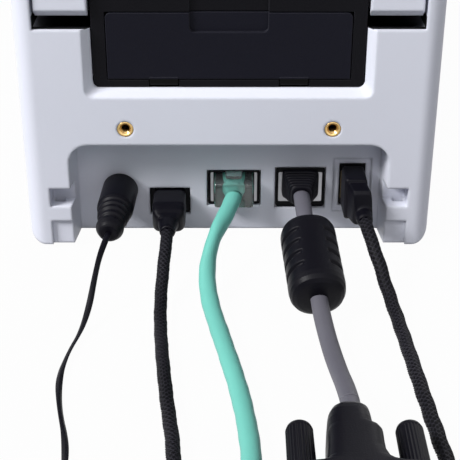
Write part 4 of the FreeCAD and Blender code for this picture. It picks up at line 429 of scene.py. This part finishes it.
def tube(name, path, section, around):
    """A skin round a path: section gives sideways and upward distances at each length and angle."""
    step = np.linalg.norm(np.diff(path, axis=0), axis=1)
    length = np.concatenate([[0.0], np.cumsum(step)])
    angle = np.linspace(0, 2 * np.pi, around, endpoint=False)
    sideways, upwards = section(length[:, None], angle[None, :])
    side, up = frames(path)
    grid = path[:, None, :] + sideways[..., None] * side[:, None, :] + upwards[..., None] * up[:, None, :]
    return skin(name, grid, length=length)


def squared(angle, power):
    """A circle's two coordinates pressed towards a square: the smaller the power, the squarer."""
    across, over = np.cos(angle), np.sin(angle)
    return np.sign(across) * np.abs(across) ** power, np.sign(over) * np.abs(over) ** power


def between(reach, low, high, ease):
    """1 from low to high and 0 outside, rising and falling over a short way inside the ends."""
    return np.clip((reach - low) / ease, 0, 1) * np.clip((high - reach) / ease, 0, 1)


def closed_ring(name, grid, slot):
    """Show a grid in millimetres whose last row lies on its first, as one closed ring."""
    return add(name, outward(skin(name, grid * MM, caps=False), merge=True), slot)


print("surface helpers ready, finishes", len(PAINT))

# %% [markdown]
# ## Leads
# A lead that lies on a table falls in one easy curve, so each route is a smooth spline drawn by a few
# points, chosen to match the photograph. What it crops off is put away as a coil: its turns are more
# points of the same spline. The tube then follows the points that the spline gives back.

# %% Routes and coils
BACK = 102.5
# In millimetres: the gap between turns. A spline with so many points a turn is pulled in by that factor.
COIL_GAP = 0.6
COIL_POINTS = 16
SPLINE_PULL = 0.981
DC_ROUTE = [(33.9, 17.2, 14.8), (35.3, 25.5, 14.1), (36.5, 33.1, 10), (37.6, 39.5, 4.7),
            (39.2, 46.5, 1.4), (41.6, 56, 1.1), (42.7, 67, 1.1), (41, 79.5, 1.1), (37.7, 92.5, 1.1),
            (36.6, 108.5, 1.1), (36.6, 127.5, 1.1)]
DC_TAIL_ROUTE = [(36.6, 137.9, 8.3), (39, 144.9, 10.2), (44, 150.9, 12.6), (48.6, 157.1, 14),
                 (49.8, 164.5, 14.2)]
USB_B_ROUTE = [(17.8, 10, 10.9), (18, 16.5, 9.9), (18.5, 24.5, 6.4), (18.8, 32.5, 2.9),
               (18.5, 41.5, 1.8), (17.6, 53.5, 1.8), (16.3, 66.5, 1.8), (14.7, 80.5, 1.8),
               (12.6, 95.5, 1.8), (12, 112.5, 1.8), (13, 136.5, 1.8), (15, 169.5, 1.8),
               (16.7, 209.5, 1.8), (17.2, 250.5, 1.8), (17.2, 290.5, 1.8)]
LAN_ROUTE = [(-1.45, -4.5, 15.2), (0.4, 4.5, 14.8), (4.6, 14, 11.4), (6.4, 24, 6.2), (5.3, 34.5, 3),
             (2.8, 46.5, 2.5), (0.2, 59.5, 2.5), (-2.4, 73, 2.5), (-4.4, 87.5, 2.5),
             (-5.5, 103.5, 2.5), (-3.2, 120.5, 2.5), (2.4, 140.5, 2.5), (6.2, 165.5, 2.5),
             (7, 198.5, 2.5), (7, 231.5, 2.5)]
SERIAL_ROUTE = [(-21.4, -2.4, 16.55), (-21.6, 5.5, 16.3), (-22.1, 14.8, 14.15), (-24.1, 40.7, 7.65),
                (-24.8, 48.4, 5.7), (-26.1, 57.5, 3.6), (-27.5, 68, 3.4), (-28.3, 77.1, 5.6),
                (-28.5, 85, 7.4)]
USB_A_ROUTE = [(-39.3, 8.5, 13.65), (-40, 14.9, 12.5), (-41.9, 21.3, 8.7), (-43.5, 28.3, 4.6),
               (-44.9, 36.3, 2.2), (-45.8, 47, 1.9), (-46.6, 59, 1.9), (-47.4, 72, 1.9),
               (-48.3, 85.5, 1.9), (-49.5, 101.5, 1.9), (-51.2, 122.5, 1.9), (-51.2, 155.5, 1.9)]


def metres(points):
    """Route points (x, distance behind the rear face, z) in millimetres as model metres."""
    return (np.array(points, float) + (0, BACK, 0)) * MM


def coiled(points, sense, thick, inner, turns, layers, tail=0.0, drop=0.0):
    """A route, then a coil: the radius swings between inner and outer as the angle grows, and it climbs.
    The points stand a little wide, because the spline is pulled inside them."""
    pitch = thick + COIL_GAP
    outer = inner + pitch * turns
    begin = metres(points)[-1] / MM + (0, thick, 0)
    turn = np.linspace(0, turns * layers, round(turns * layers * COIL_POINTS) + 1)
    leg = np.minimum((turn / turns).astype(int), layers - 1)
    share = turn - leg * turns
    radius = np.where(leg % 2 == 0, outer - pitch * share, inner + pitch * share)
    wide = radius / SPLINE_PULL
    wide[0], wide[-1] = radius[0], radius[-1]
    lift = sum(np.clip((turn - turns * (layer + 1)) * 2 + 0.5, 0, 1) for layer in range(layers - 1))
    angle = (0 if sense > 0 else np.pi) + sense * 2 * np.pi * turn
    ring = np.column_stack([wide * np.cos(angle) - sense * outer, wide * np.sin(angle), pitch * lift])
    ring = ring + begin
    off = np.array([-np.sin(angle[-1]), np.cos(angle[-1]), 0]) * sense
    ends = [ring[-1] + off * tail * part - (0, 0, drop * fall)
            for part, fall in ((0.35, 0.05), (0.65, 0.95), (1.0, 1.0))] if tail else []
    ends += [ring[-1] + off * (tail + thick) - (0, 0, drop)]
    return np.vstack([metres(points), np.vstack([ring, *ends]) * MM])


def spline_points(name, points, step):
    """Evenly spaced points read from a smooth spline with the given control points."""
    curve = bpy.data.curves.new(name, "CURVE")
    curve.dimensions = "3D"
    curve.resolution_u = 10
    spline = curve.splines.new("NURBS")
    spline.points.add(len(points) - 1)
    spline.points.foreach_set("co", np.column_stack([points, np.ones(len(points))]).ravel())
    spline.order_u = 3
    spline.use_endpoint_u = True
    holder = bpy.data.objects.new(name, curve)
    scene.collection.objects.link(holder)
    bpy.context.view_layer.update()
    mesh = bpy.data.meshes.new_from_object(holder)
    line = np.empty(len(mesh.vertices) * 3)
    mesh.vertices.foreach_get("co", line)
    line = line.reshape(-1, 3)
    bpy.data.objects.remove(holder)
    bpy.data.curves.remove(curve)
    bpy.data.meshes.remove(mesh)
    run = np.concatenate([[0.0], np.cumsum(np.linalg.norm(np.diff(line, axis=0), axis=1))])
    places = np.linspace(0, run[-1], max(2, round(run[-1] / step)))
    print(name, "length", round(run[-1], 4), "m")
    return np.column_stack([np.interp(places, run, line[:, axis]) for axis in range(3)])


for route in (DC_ROUTE, USB_B_ROUTE, LAN_ROUTE, SERIAL_ROUTE, USB_A_ROUTE):
    print("route from", route[0], "with", len(route), "points")

# %% [markdown]
# ## Sections of the leads
# The sleeve's bundles stand out in real relief, so its outline is scalloped as in the photograph. The
# supply lead is two thin cores side by side that twist slowly. The grey and the teal lead are flattened
# ovals, and the teal one turns on edge for a short way after its plug, where the photograph has it thin.

# %% Leads
RIDGE = 0.00024
SWAY_LENGTH = 0.0095
SWAY_START = 0.01
EDGE_REACH = 0.010
WAIST, WAIST_LEAST, CORE_FLAT = 0.35, 0.12, 0.85
SECOND_WAVE = 2.7


def braided(radius, strands, pitch, sway):
    """A circle with two families of ridges that wind opposite ways round it, swaying a little sideways."""
    def section(length, angle):
        aside = sway * np.sin(2 * np.pi * length / SWAY_LENGTH) * np.clip(length / SWAY_START, 0, 1)
        one = np.sin(strands * angle + 2 * np.pi * length / pitch)
        two = np.sin(strands * angle - 2 * np.pi * length / pitch)
        wide = radius + RIDGE * np.maximum(one, two) - RIDGE / 2
        return wide * np.cos(angle) + aside, wide * np.sin(angle)
    return section


def leaning(across, over, lean):
    """A section's two coordinates, turned by an angle."""
    return across * np.cos(lean) - over * np.sin(lean), across * np.sin(lean) + over * np.cos(lean)


def two_core(radius, twist):
    """Two round cores side by side, turned slowly to and fro along the length."""
    def section(length, angle):
        waist = np.sqrt(np.maximum(WAIST - WAIST * np.sin(angle) ** 2, WAIST_LEAST))
        wide = radius * (np.abs(np.cos(angle)) + waist)
        lean = 0.25 * np.pi * np.sin(2 * np.pi * length / twist)
        return leaning(wide * np.cos(angle), CORE_FLAT * radius * np.sin(angle), lean)
    return section


def oval(half_wide, half_high, wave, pitch=0.02, edge=None):
    """An ellipse whose size wavers a little along the length, on edge round one place if edge gives it."""
    def section(length, angle):
        phase = 2 * np.pi * length / pitch
        size = 1 + wave * np.sin(phase) * np.sin(phase / SECOND_WAVE)
        lean = 0 * length if edge is None else 0.5 * np.pi * np.exp(-((length - edge) / EDGE_REACH) ** 2)
        return leaning(half_wide * size * np.cos(angle), half_high * size * np.sin(angle), lean)
    return section


def lead(name, points, step, section, around, slot, nodes):
    """A lead along the spline of its control points, shown in place of CAD nodes, and its path."""
    path = spline_points(name + "_line", points, step)
    cord = add(name + "_cord", tube(name + "_cord", path, section, around), slot, nodes)
    print(cord.name, len(cord.data.polygons), "faces")
    return cord, path


dc_points = np.vstack([coiled(DC_ROUTE, -1, 1.8, 7.0, 3.5, 4), metres(DC_TAIL_ROUTE)])
dc_cord, dc_path = lead("dc", dc_points, 0.0009, two_core(0.00055, 0.055), 18, "cord_black",
                        ["dc_lead", "dc_coil", "dc_tail"])
usb_b_points = coiled(USB_B_ROUTE, 1, 3.4, 12.0, 2.625, 2, 14.0, 1.3)
usb_b_cord, usb_b_path = lead("usb_b", usb_b_points, 0.00042, braided(0.0017, 7, 0.0015, 0.00005), 30,
                              "braid_black", ["usb_b_lead", "usb_b_coil"])
lan_points = coiled(LAN_ROUTE, 1, 4.8, 18.5, 2.125, 2, 22.0, 3.5)
lan_cord, lan_path = lead("lan", lan_points, 0.0009, oval(0.00245, 0.002, 0.03, 0.009, 0.021), 26,
                          "cord_teal", ["lan_lead", "lan_coil"])
serial_cord, serial_path = lead("serial", metres(SERIAL_ROUTE), 0.0006, oval(0.0024, 0.0018, 0.01), 26,
                                "cord_grey", ["serial_lead_upper", "serial_lead_lower"])
usb_a_points = coiled(USB_A_ROUTE, -1, 3.6, 10.8, 3.5, 2, 18.0, 2.2)
usb_a_cord, usb_a_path = lead("usb_a", usb_a_points, 0.00042, braided(0.0018, 7, 0.0016, 0.00009), 30,
                              "braid_black", ["usb_a_lead", "usb_a_coil"])

# %% [markdown]
# ## Plugs
# Each plug is moulded over its lead: a block with soft corners that narrows to a neck. A loft through
# rounded rectangles makes such a form, and the ribs of the supply plug and of the serial boot are waves
# in the same loft.

# %% Lofted plugs
# In millimetres: where the plugs' shoulders stand, and the middles of three connectors.
PLUG_Y = 92.7
LAN_X, SERIAL_X, HOOD_X = -1.45, -21.4, -28.5
BACKWARDS, SIDEWAYS = (0, 1, 0), (-1, 0, 0)


def loft(name, stations, centre, way, around=72, ripple=None, step=0.22):
    """Rounded rectangles along a line: each station gives distance, half width, half height, squareness, lift
    and, where it leans, sideways shift, in millimetres; ripple adds to the size by distance and angle."""
    rows = np.array([(*row, 0.0, 0.0)[:6] for row in stations])
    reach = np.unique(np.concatenate([rows[:, 0], np.arange(rows[0, 0], rows[-1, 0], step)]))
    wide, high, square, lift, lean = (np.interp(reach, rows[:, 0], rows[:, column])[:, None]
                                      for column in range(1, 6))
    angle = np.linspace(0, 2 * np.pi, around, endpoint=False)[None, :]
    across, over = squared(angle, 2 / square)
    grow = 0 if ripple is None else ripple(reach[:, None], angle)
    along = np.array(way, float) / np.linalg.norm(way)
    side = np.cross(along, (0, 0, 1.0))
    side /= np.linalg.norm(side)
    up = np.cross(side, along)
    grid = (np.array(centre, float) + reach[:, None, None] * along
            + ((wide + grow) * across + lean)[..., None] * side
            + ((high + grow) * over + lift)[..., None] * up)
    return skin(name, grid * MM)


def moulded(name, stations, centre, way, slot, nodes=(), **shape):
    """A lofted piece, shown with its slot's finish in place of CAD nodes."""
    return add(name, loft(name, stations, centre, way, **shape), slot, nodes)


dc_start = np.array((32.5, 93.1, 15.6))
dc_way = metres(DC_ROUTE)[0] / MM - dc_start


def dc_ribs(reach, angle):
    """Four soft grooves between the barrel and the end collar."""
    start, pitch, deep = 13.8, 2.3, 0.6
    groove = np.clip(0.55 - 0.9 * np.cos(2 * np.pi * (reach - start) / pitch), 0, 1)
    return -deep * between(reach, start, 22.9, 0.5) * groove + 0 * angle


dc_plug = moulded("dc_plug_mould", [
    (-8, 2.3, 2.3, 2), (-7.7, 2.5, 2.5, 2), (-0.1, 2.5, 2.5, 2), (0, 4.6, 4.6, 2), (0.3, 5.05, 5.05, 2),
    (0.8, 5.3, 5.3, 2), (12.8, 5.3, 5.3, 2), (13.3, 5.25, 5.25, 2), (13.8, 5.0, 5.0, 2),
    (18, 4.5, 4.5, 2), (22.6, 3.5, 3.5, 2), (23.0, 3.5, 3.5, 2), (23.5, 4.0, 4.0, 2),
    (24.2, 3.95, 3.95, 2), (25.6, 3.3, 3.3, 2), (26.3, 2.8, 2.8, 2), (26.65, 2.2, 2.2, 2)
], dc_start, dc_way, "plug_black", ["dc_plug"], ripple=dc_ribs)

usb_b_plug = moulded("usb_b_plug_mould", [
    (-10.7, 4.1, 3.7, 9), (-0.1, 4.1, 3.7, 9), (0, 4.3, 3.6, 7), (0.4, 4.75, 4.0, 7), (1, 4.85, 4.1, 7),
    (8.2, 4.85, 4.1, 7), (9.8, 4.8, 3.9, 6.5, -0.15), (11.2, 4.6, 3.55, 6, -0.4),
    (12.2, 4.2, 3.2, 5, -0.6), (12.9, 3.7, 2.95, 4, -0.55), (13.5, 3.15, 2.75, 3, -0.4),
    (14.2, 2.85, 2.6, 2.2, -0.3), (18.8, 2.35, 2.35, 2), (19.5, 2.2, 2.2, 2), (19.8, 1.9, 1.9, 2)
], (17.8, PLUG_Y, 10.9), BACKWARDS, "plug_black", ["usb_b_plug"])


def boot_ribs(reach, angle):
    """Six grooves across the boot."""
    pitch, deep = 1.1, 0.55
    groove = np.clip(1.5 * np.cos(2 * np.pi * reach / pitch), 0, 1)
    return -deep * between(reach, 0.5, 7.0, 0.2) * groove + 0 * angle


serial_plug = moulded("serial_plug_boot", [
    (-11, 4.8, 3.2, 9), (-0.6, 4.8, 3.2, 9), (-0.5, 5.2, 4.4, 7, 1.2), (0, 5.5, 4.75, 7, 1.3),
    (6.7, 3.5, 3.3, 4, 1.2), (7.2, 3.1, 3.0, 3, 1.2), (7.4, 2.6, 2.5, 2, 1.2)
], (SERIAL_X, PLUG_Y, 15.35), BACKWARDS, "plug_black", ["serial_plug"], ripple=boot_ribs, step=0.1)

usb_a_plug = moulded("usb_a_plug_mould", [
    (-10.7, 2.2, 5.9, 12), (-0.1, 2.2, 5.9, 12), (0, 3.1, 6.4, 10), (0.3, 3.3, 6.6, 10),
    (8.7, 3.3, 6.6, 10, 0, -0.3), (9.2, 3.1, 6.3, 10, 0, -0.5), (9.4, 2.85, 5.7, 10, -0.1, -0.7),
    (13.4, 2.75, 5.3, 9, -0.3, -1.6), (14.1, 2.65, 4.9, 7, -0.8, -1.9), (14.5, 2.5, 3.6, 4, -2.0, -2.2),
    (14.8, 2.5, 2.7, 2, -2.6, -2.4), (17.6, 2.3, 2.3, 2, -2.6, -2.4), (18.3, 1.9, 1.9, 2, -2.6, -2.4)
], (-36.9, PLUG_Y, 16.25), BACKWARDS, "plug_black", ["usb_a_plug"])
for piece in (dc_plug, usb_b_plug, serial_plug, usb_a_plug):
    print(piece.name, len(piece.data.polygons), "faces")

# %% [markdown]
# ## Bead and end hood
# The bead is a split shell round a ferrite core, with shallow slots across both flanks and a plain band
# between them. The hood of the nine-way plug widens in an easy curve from its neck, and two knurled
# thumb screws stand beside the neck.

# %% Bead, hood and thumb screws
bead_start = np.array((-22.1, 117.3, 14.15))
bead_way = np.array((-24.1, 143.2, 7.65)) - bead_start


def bead_slots(reach, angle):
    """Shallow slots across the two flanks, none over the middle band."""
    flank = np.clip((np.abs(np.cos(angle)) - 0.4) / 0.1, 0, 1)
    half, deep = 0.7, 0.75
    wave = sum(np.exp(-((reach - place) / half) ** 6) for place in (6.2, 10.6, 15.0, 19.4))
    return -deep * wave * flank


bead_long = float(np.linalg.norm(bead_way))
bead = moulded("ferrite_bead_shell", [
    (0, 3.2, 3.2, 2), (0.1, 5.6, 5.6, 2), (0.45, 6.7, 6.7, 2.1), (1.1, 7.4, 7.4, 2.2),
    (2.2, 7.75, 7.75, 2.2), (3.4, 7.8, 7.8, 2.2), (bead_long - 4, 7.8, 7.8, 2.2),
    (bead_long - 2.4, 7.6, 7.6, 2.2), (bead_long - 1.2, 7.0, 7.0, 2.2), (bead_long - 0.5, 6.0, 6.0, 2.1),
    (bead_long - 0.1, 4.4, 4.4, 2), (bead_long, 3.0, 3.0, 2)
], bead_start, bead_way, "plug_black", ["ferrite_bead"], around=120, ripple=bead_slots, step=0.16)

hood = moulded("serial_hood_shell", [
    (6.2, 2.3, 2.3, 2, -0.4), (6.6, 3.1, 3.4, 2.2, -0.2), (7.2, 3.7, 4.6, 2.6, 0, 0.5),
    (8.2, 4.2, 5.8, 3.0, 0, 0.9), (10, 4.7, 6.9, 3.4, 0, 1.1), (12, 5.0, 7.5, 3.8, 0, 1.4),
    (15, 5.2, 7.7, 4.2, 0, 1.55), (16.6, 5.35, 7.7, 4.2, 0, 1.5), (17.6, 6.0, 7.7, 4.6, 0, 0.8),
    (18.6, 6.25, 7.7, 5, 0, 0.65), (22, 6.3, 7.7, 5, 0, 0.75), (25, 6.5, 7.7, 5, 0, 0.85),
    (28, 7.2, 7.7, 5, 0, 0.5), (29.4, 8.4, 7.7, 6, 0, 0.2), (30.2, 10.8, 7.7, 7), (30.6, 14.6, 7.7, 8),
    (31, 15.5, 7.7, 8), (41.1, 15.5, 7.7, 8), (41.5, 15.2, 7.4, 8)
], (HOOD_X, 187.5, 7.8), BACKWARDS, "plug_black", ["serial_hood"])
relief = moulded("serial_relief_sleeve", [
    (0, 2.35, 1.85, 2, -0.4), (3, 2.5, 2.2, 2, -0.4), (6.5, 2.9, 2.7, 2, -0.4)
], (HOOD_X, 187.4, 7.8), BACKWARDS, "cord_grey")


def knurl(reach, angle):
    """Fine straight knurling on the grip of a thumb screw."""
    ridges, deep = 24, 0.14
    return deep * between(reach, 1.6, 19.0, 0.3) * (np.cos(ridges * angle) - 1)


SCREW = [(0, 1.9, 1.9, 2), (0.25, 2.5, 2.5, 2), (0.7, 2.95, 2.95, 2), (1.5, 3.2, 3.2, 2), (19.5, 3.3, 3.3, 2),
         (20.2, 3.0, 3.0, 2), (20.3, 1.4, 1.4, 2), (34.3, 1.4, 1.4, 2)]
screws = [moulded(name, SCREW, (HOOD_X + across, 197.4, 7.4), BACKWARDS, "plug_black", around=96,
                  ripple=knurl)
          for name, across in (("serial_screw_right", 12.5), ("serial_screw_left", -12.5))]
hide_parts("serial_screws")
print("bead length", round(bead_long, 2), "mm")

# %% [markdown]
# ## Network plug
# The network plug is clear moulded plastic, so the coloured jacket shows through it, and a sprung latch
# stands over it. The body is a very square loft, the latch a thin strip that climbs towards the rear.

# %% Network plug
NETWORK_BODY = [(0, 5.5, 3.7, 14), (0.3, 5.8, 4.0, 14), (20.6, 5.8, 4.0, 14), (21, 5.5, 3.7, 14)]
lan_plug = moulded("lan_plug_body", NETWORK_BODY, (LAN_X, 77.0, 15.3), BACKWARDS, "plug_clear",
                   ["lan_plug"], around=96)
lan_latch = moulded("lan_plug_latch", [
    (0, 2.6, 0.3, 8), (0.4, 2.9, 0.45, 8, 0.05), (9, 2.9, 0.45, 8, 0.5), (16.6, 2.3, 0.45, 8, 1.1),
    (17, 2.0, 0.3, 8, 1.1)
], (LAN_X, 80.0, 19.7), BACKWARDS, "plug_clear")
lan_sheath = moulded("lan_plug_sheath", [
    (0, 3.2, 1.6, 3), (0.3, 3.5, 1.8, 3), (9, 3.4, 2.1, 2.6, 0.1), (13, 2.9, 2.1, 2.2, 0.2),
    (17, 2.45, 2.0, 2, 0.2)
], (LAN_X, 81.0, 15.0), BACKWARDS, "cord_teal")
for piece in (lan_plug, lan_latch, lan_sheath):
    print(piece.name, len(piece.data.polygons), "faces")

# %% [markdown]
# ## Far ends and ties
# The far plugs lie beyond the picture's edge. They are moulded like the near ones, with a pressed metal
# shell at the mouth. A soft band holds each coil, flattened where the coil rests on the table.

# %% Far plugs and ties
TABLE_GAP = 0.15
usb_b_far = moulded("usb_b_far_mould", [
    (0, 2.2, 2.2, 2), (3, 2.9, 2.9, 2), (4.5, 6.8, 3.9, 4), (6, 7.8, 4.2, 6), (23.4, 8.0, 4.2, 6),
    (24, 7.6, 3.9, 6)
], (-22.7, 418.9, 4.5), SIDEWAYS, "plug_black", ["usb_b_far_plug"])
usb_b_shell = moulded("usb_b_far_shell", [
    (0, 6.0, 2.25, 16), (11.7, 6.0, 2.25, 16), (12, 5.8, 2.05, 16)
], (-46.7, 418.9, 4.5), SIDEWAYS, "plug_metal")
lan_far = moulded("lan_far_body", NETWORK_BODY, (-50.7, 368.78, 4.4), SIDEWAYS, "plug_clear",
                  ["lan_far_plug"], around=96)
lan_far_sheath = moulded("lan_far_sheath", [
    (0, 2.4, 2.2, 2), (4, 2.9, 2.2, 2.2), (8, 3.4, 2.0, 2.6), (15.7, 3.5, 1.8, 3), (16, 3.2, 1.6, 3)
], (-51.2, 368.78, 4.4), SIDEWAYS, "cord_teal")
usb_a_far = moulded("usb_a_far_mould", [
    (0, 2.2, 2.2, 2), (2.6, 2.7, 2.7, 2), (3.6, 4.8, 3.1, 4), (5, 5.4, 3.3, 6), (21.5, 5.5, 3.3, 6),
    (22, 5.2, 3.0, 6)
], (-51.2, 283.2, 3.9), BACKWARDS, "plug_black", ["usb_a_far_plug"])
usb_a_shell = moulded("usb_a_far_shell", [
    (0, 4.15, 1.25, 16), (6.4, 4.15, 1.25, 16), (6.6, 4.0, 1.1, 16)
], (-51.2, 305.2, 3.9), BACKWARDS, "plug_metal")


def tie(name, centre, angle, inner, outer, top):
    """A band round a coil's bundle: an oval loop in the plane through the coil's axis, swept across the
    band's width and kept just over the table."""
    around = np.linspace(0, 2 * np.pi, 72, endpoint=False)[None, :]
    lane = np.array([(-2, 0.0), (-2, 0.35), (-1.7, 0.5), (1.7, 0.5), (2, 0.35), (2, 0.0), (-2, 0.0)])
    loop_out, loop_up = squared(around, 2 / 5)
    radius = (inner + outer) / 2 + loop_out * ((outer - inner) / 2 + lane[:, 1:])
    lift = loop_up * (top / 2 + lane[:, 1:]) + top / 2
    out, across = np.array((np.cos(angle), np.sin(angle))), np.array((-np.sin(angle), np.cos(angle)))
    flat = radius[..., None] * out + lane[:, :1, None] * across + np.array(centre)
    return closed_ring(name, np.dstack([flat, np.maximum(lift, TABLE_GAP)]), "cord_black")


dc_tie = tie("dc_coil_tie", (52.0, 231.8), 2.6, 6.1, 16.3, 9.4)
usb_b_tie = tie("usb_b_coil_tie", (-5.3, 396.4), 2.2, 10.3, 24.2, 7.8)
lan_tie = tie("lan_coil_tie", (-22.98, 338.8), 0.7, 16.1, 32.4, 10.6)
usb_a_tie = tie("usb_a_coil_tie", (-25.7, 261.6), 0.9, 9.0, 27.3, 8.2)
for piece in (usb_b_far, lan_far, usb_a_far, dc_tie, usb_b_tie, lan_tie, usb_a_tie):
    print(piece.name, len(piece.data.polygons), "faces")

# %% [markdown]
# ## The solids by name
# Each lead's drawn path is what lies in view and, for four of the leads, one coil that brings it near a
# metre; its length is printed as it is made. The solids of the model are taken by name for the painting
# below.

nodes = frame["nodes"]

# %% [markdown]
# ## Threaded inserts
# Two brass inserts sit in the wall over the bay. They are turned parts: a chamfered flange round a
# threaded bore. Their half section is carried once round the axis.

# %% Brass inserts
INSERT_Z = 39
INSERT_ROOT = (2.35, 96.8)
BORE, THREAD, THREAD_PITCH = 1.25, 0.12, 0.5


def insert(name, across):
    """A closed half section turned round a line along Y: outer wall, chamfers, and a bore with waves of
    thread."""
    depth = np.linspace(5.3, 0.7, 60)
    thread = BORE + THREAD * np.sin(2 * np.pi * depth / THREAD_PITCH)
    outline = np.vstack([[INSERT_ROOT, (2.35, 102.2), (2.15, BACK), (1.85, BACK), (1.4, 101.95)],
                         np.column_stack([thread, BACK - depth])[::-1], [INSERT_ROOT]])
    angle = np.linspace(0, 2 * np.pi, 72, endpoint=False)
    radius = outline[:, :1]
    grid = np.stack([across + radius * np.cos(angle), outline[:, 1:] + 0 * angle,
                     INSERT_Z + radius * np.sin(angle)], -1)
    return closed_ring(name, grid, "insert_brass")


inserts = [insert("insert_right", 29.5), insert("insert_left", -29.5)]
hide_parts("brass_inserts")
print("inserts", [item.name for item in inserts])

# %% [markdown]
# ## Socket mouths
# Between a socket's metal shield and the wall round it a dark gap shows. A thin black frame on the shield's
# face stands for that shadowed insulator, and its black is painted shade. The upright socket also shows one
# gilt contact strip.

# %% Socket mouths
MOUTH_BACK, MOUTH_FRONT = 91.7, 91.95


def mouth(name, middle, level, outer, inner):
    """A flat square frame: four rings of one squared circle, outer and inner, back and front."""
    angle = np.linspace(0, 2 * np.pi, 80, endpoint=False)
    across, over = squared(angle, 0.06)
    rings = [(*outer, MOUTH_BACK), (*outer, MOUTH_FRONT), (*inner, MOUTH_FRONT), (*inner, MOUTH_BACK),
             (*outer, MOUTH_BACK)]
    grid = np.stack([np.column_stack([middle + wide * across, 0 * angle + depth, level + high * over])
                     for wide, high, depth in rings])
    return closed_ring(name, grid, "socket_black")


mouth("lan_mouth", LAN_X, 15.3, (7.78, 5.66), (7.0, 4.95))
mouth("serial_mouth", SERIAL_X, 15.35, (7.28, 6.5), (6.55, 4.95))
moulded("usb_a_contact", [(0, 0.22, 4.6, 14), (0.45, 0.22, 4.6, 14)], (-33.75, 91.6, 16.25), BACKWARDS,
        "contact_brass")
print("two socket mouths and a contact strip")

# %% [markdown]
# ## Finishes on the remaining solids
# Everything else keeps its exact solid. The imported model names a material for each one, and the finish
# of that name is put on it. The feed door is a little bluer than the panel round it, so it has its own.

# %% Paint the remaining solids
OWN_FINISH = {"rear_door": "door_plastic"}
painted = 0
for node, item in nodes.items():
    for place in item.material_slots:
        if place.material and place.material.name in PAINT:
            place.material = PAINT[OWN_FINISH.get(node, place.material.name)]
            painted += 1
print("painted", painted, "solids")

# %% [markdown]
# ## View transform
# Colours are shown as written, with the plain view transform. The dressing may not make the object
# bigger.

# %% View transform
scene.view_settings.view_transform = "Standard"
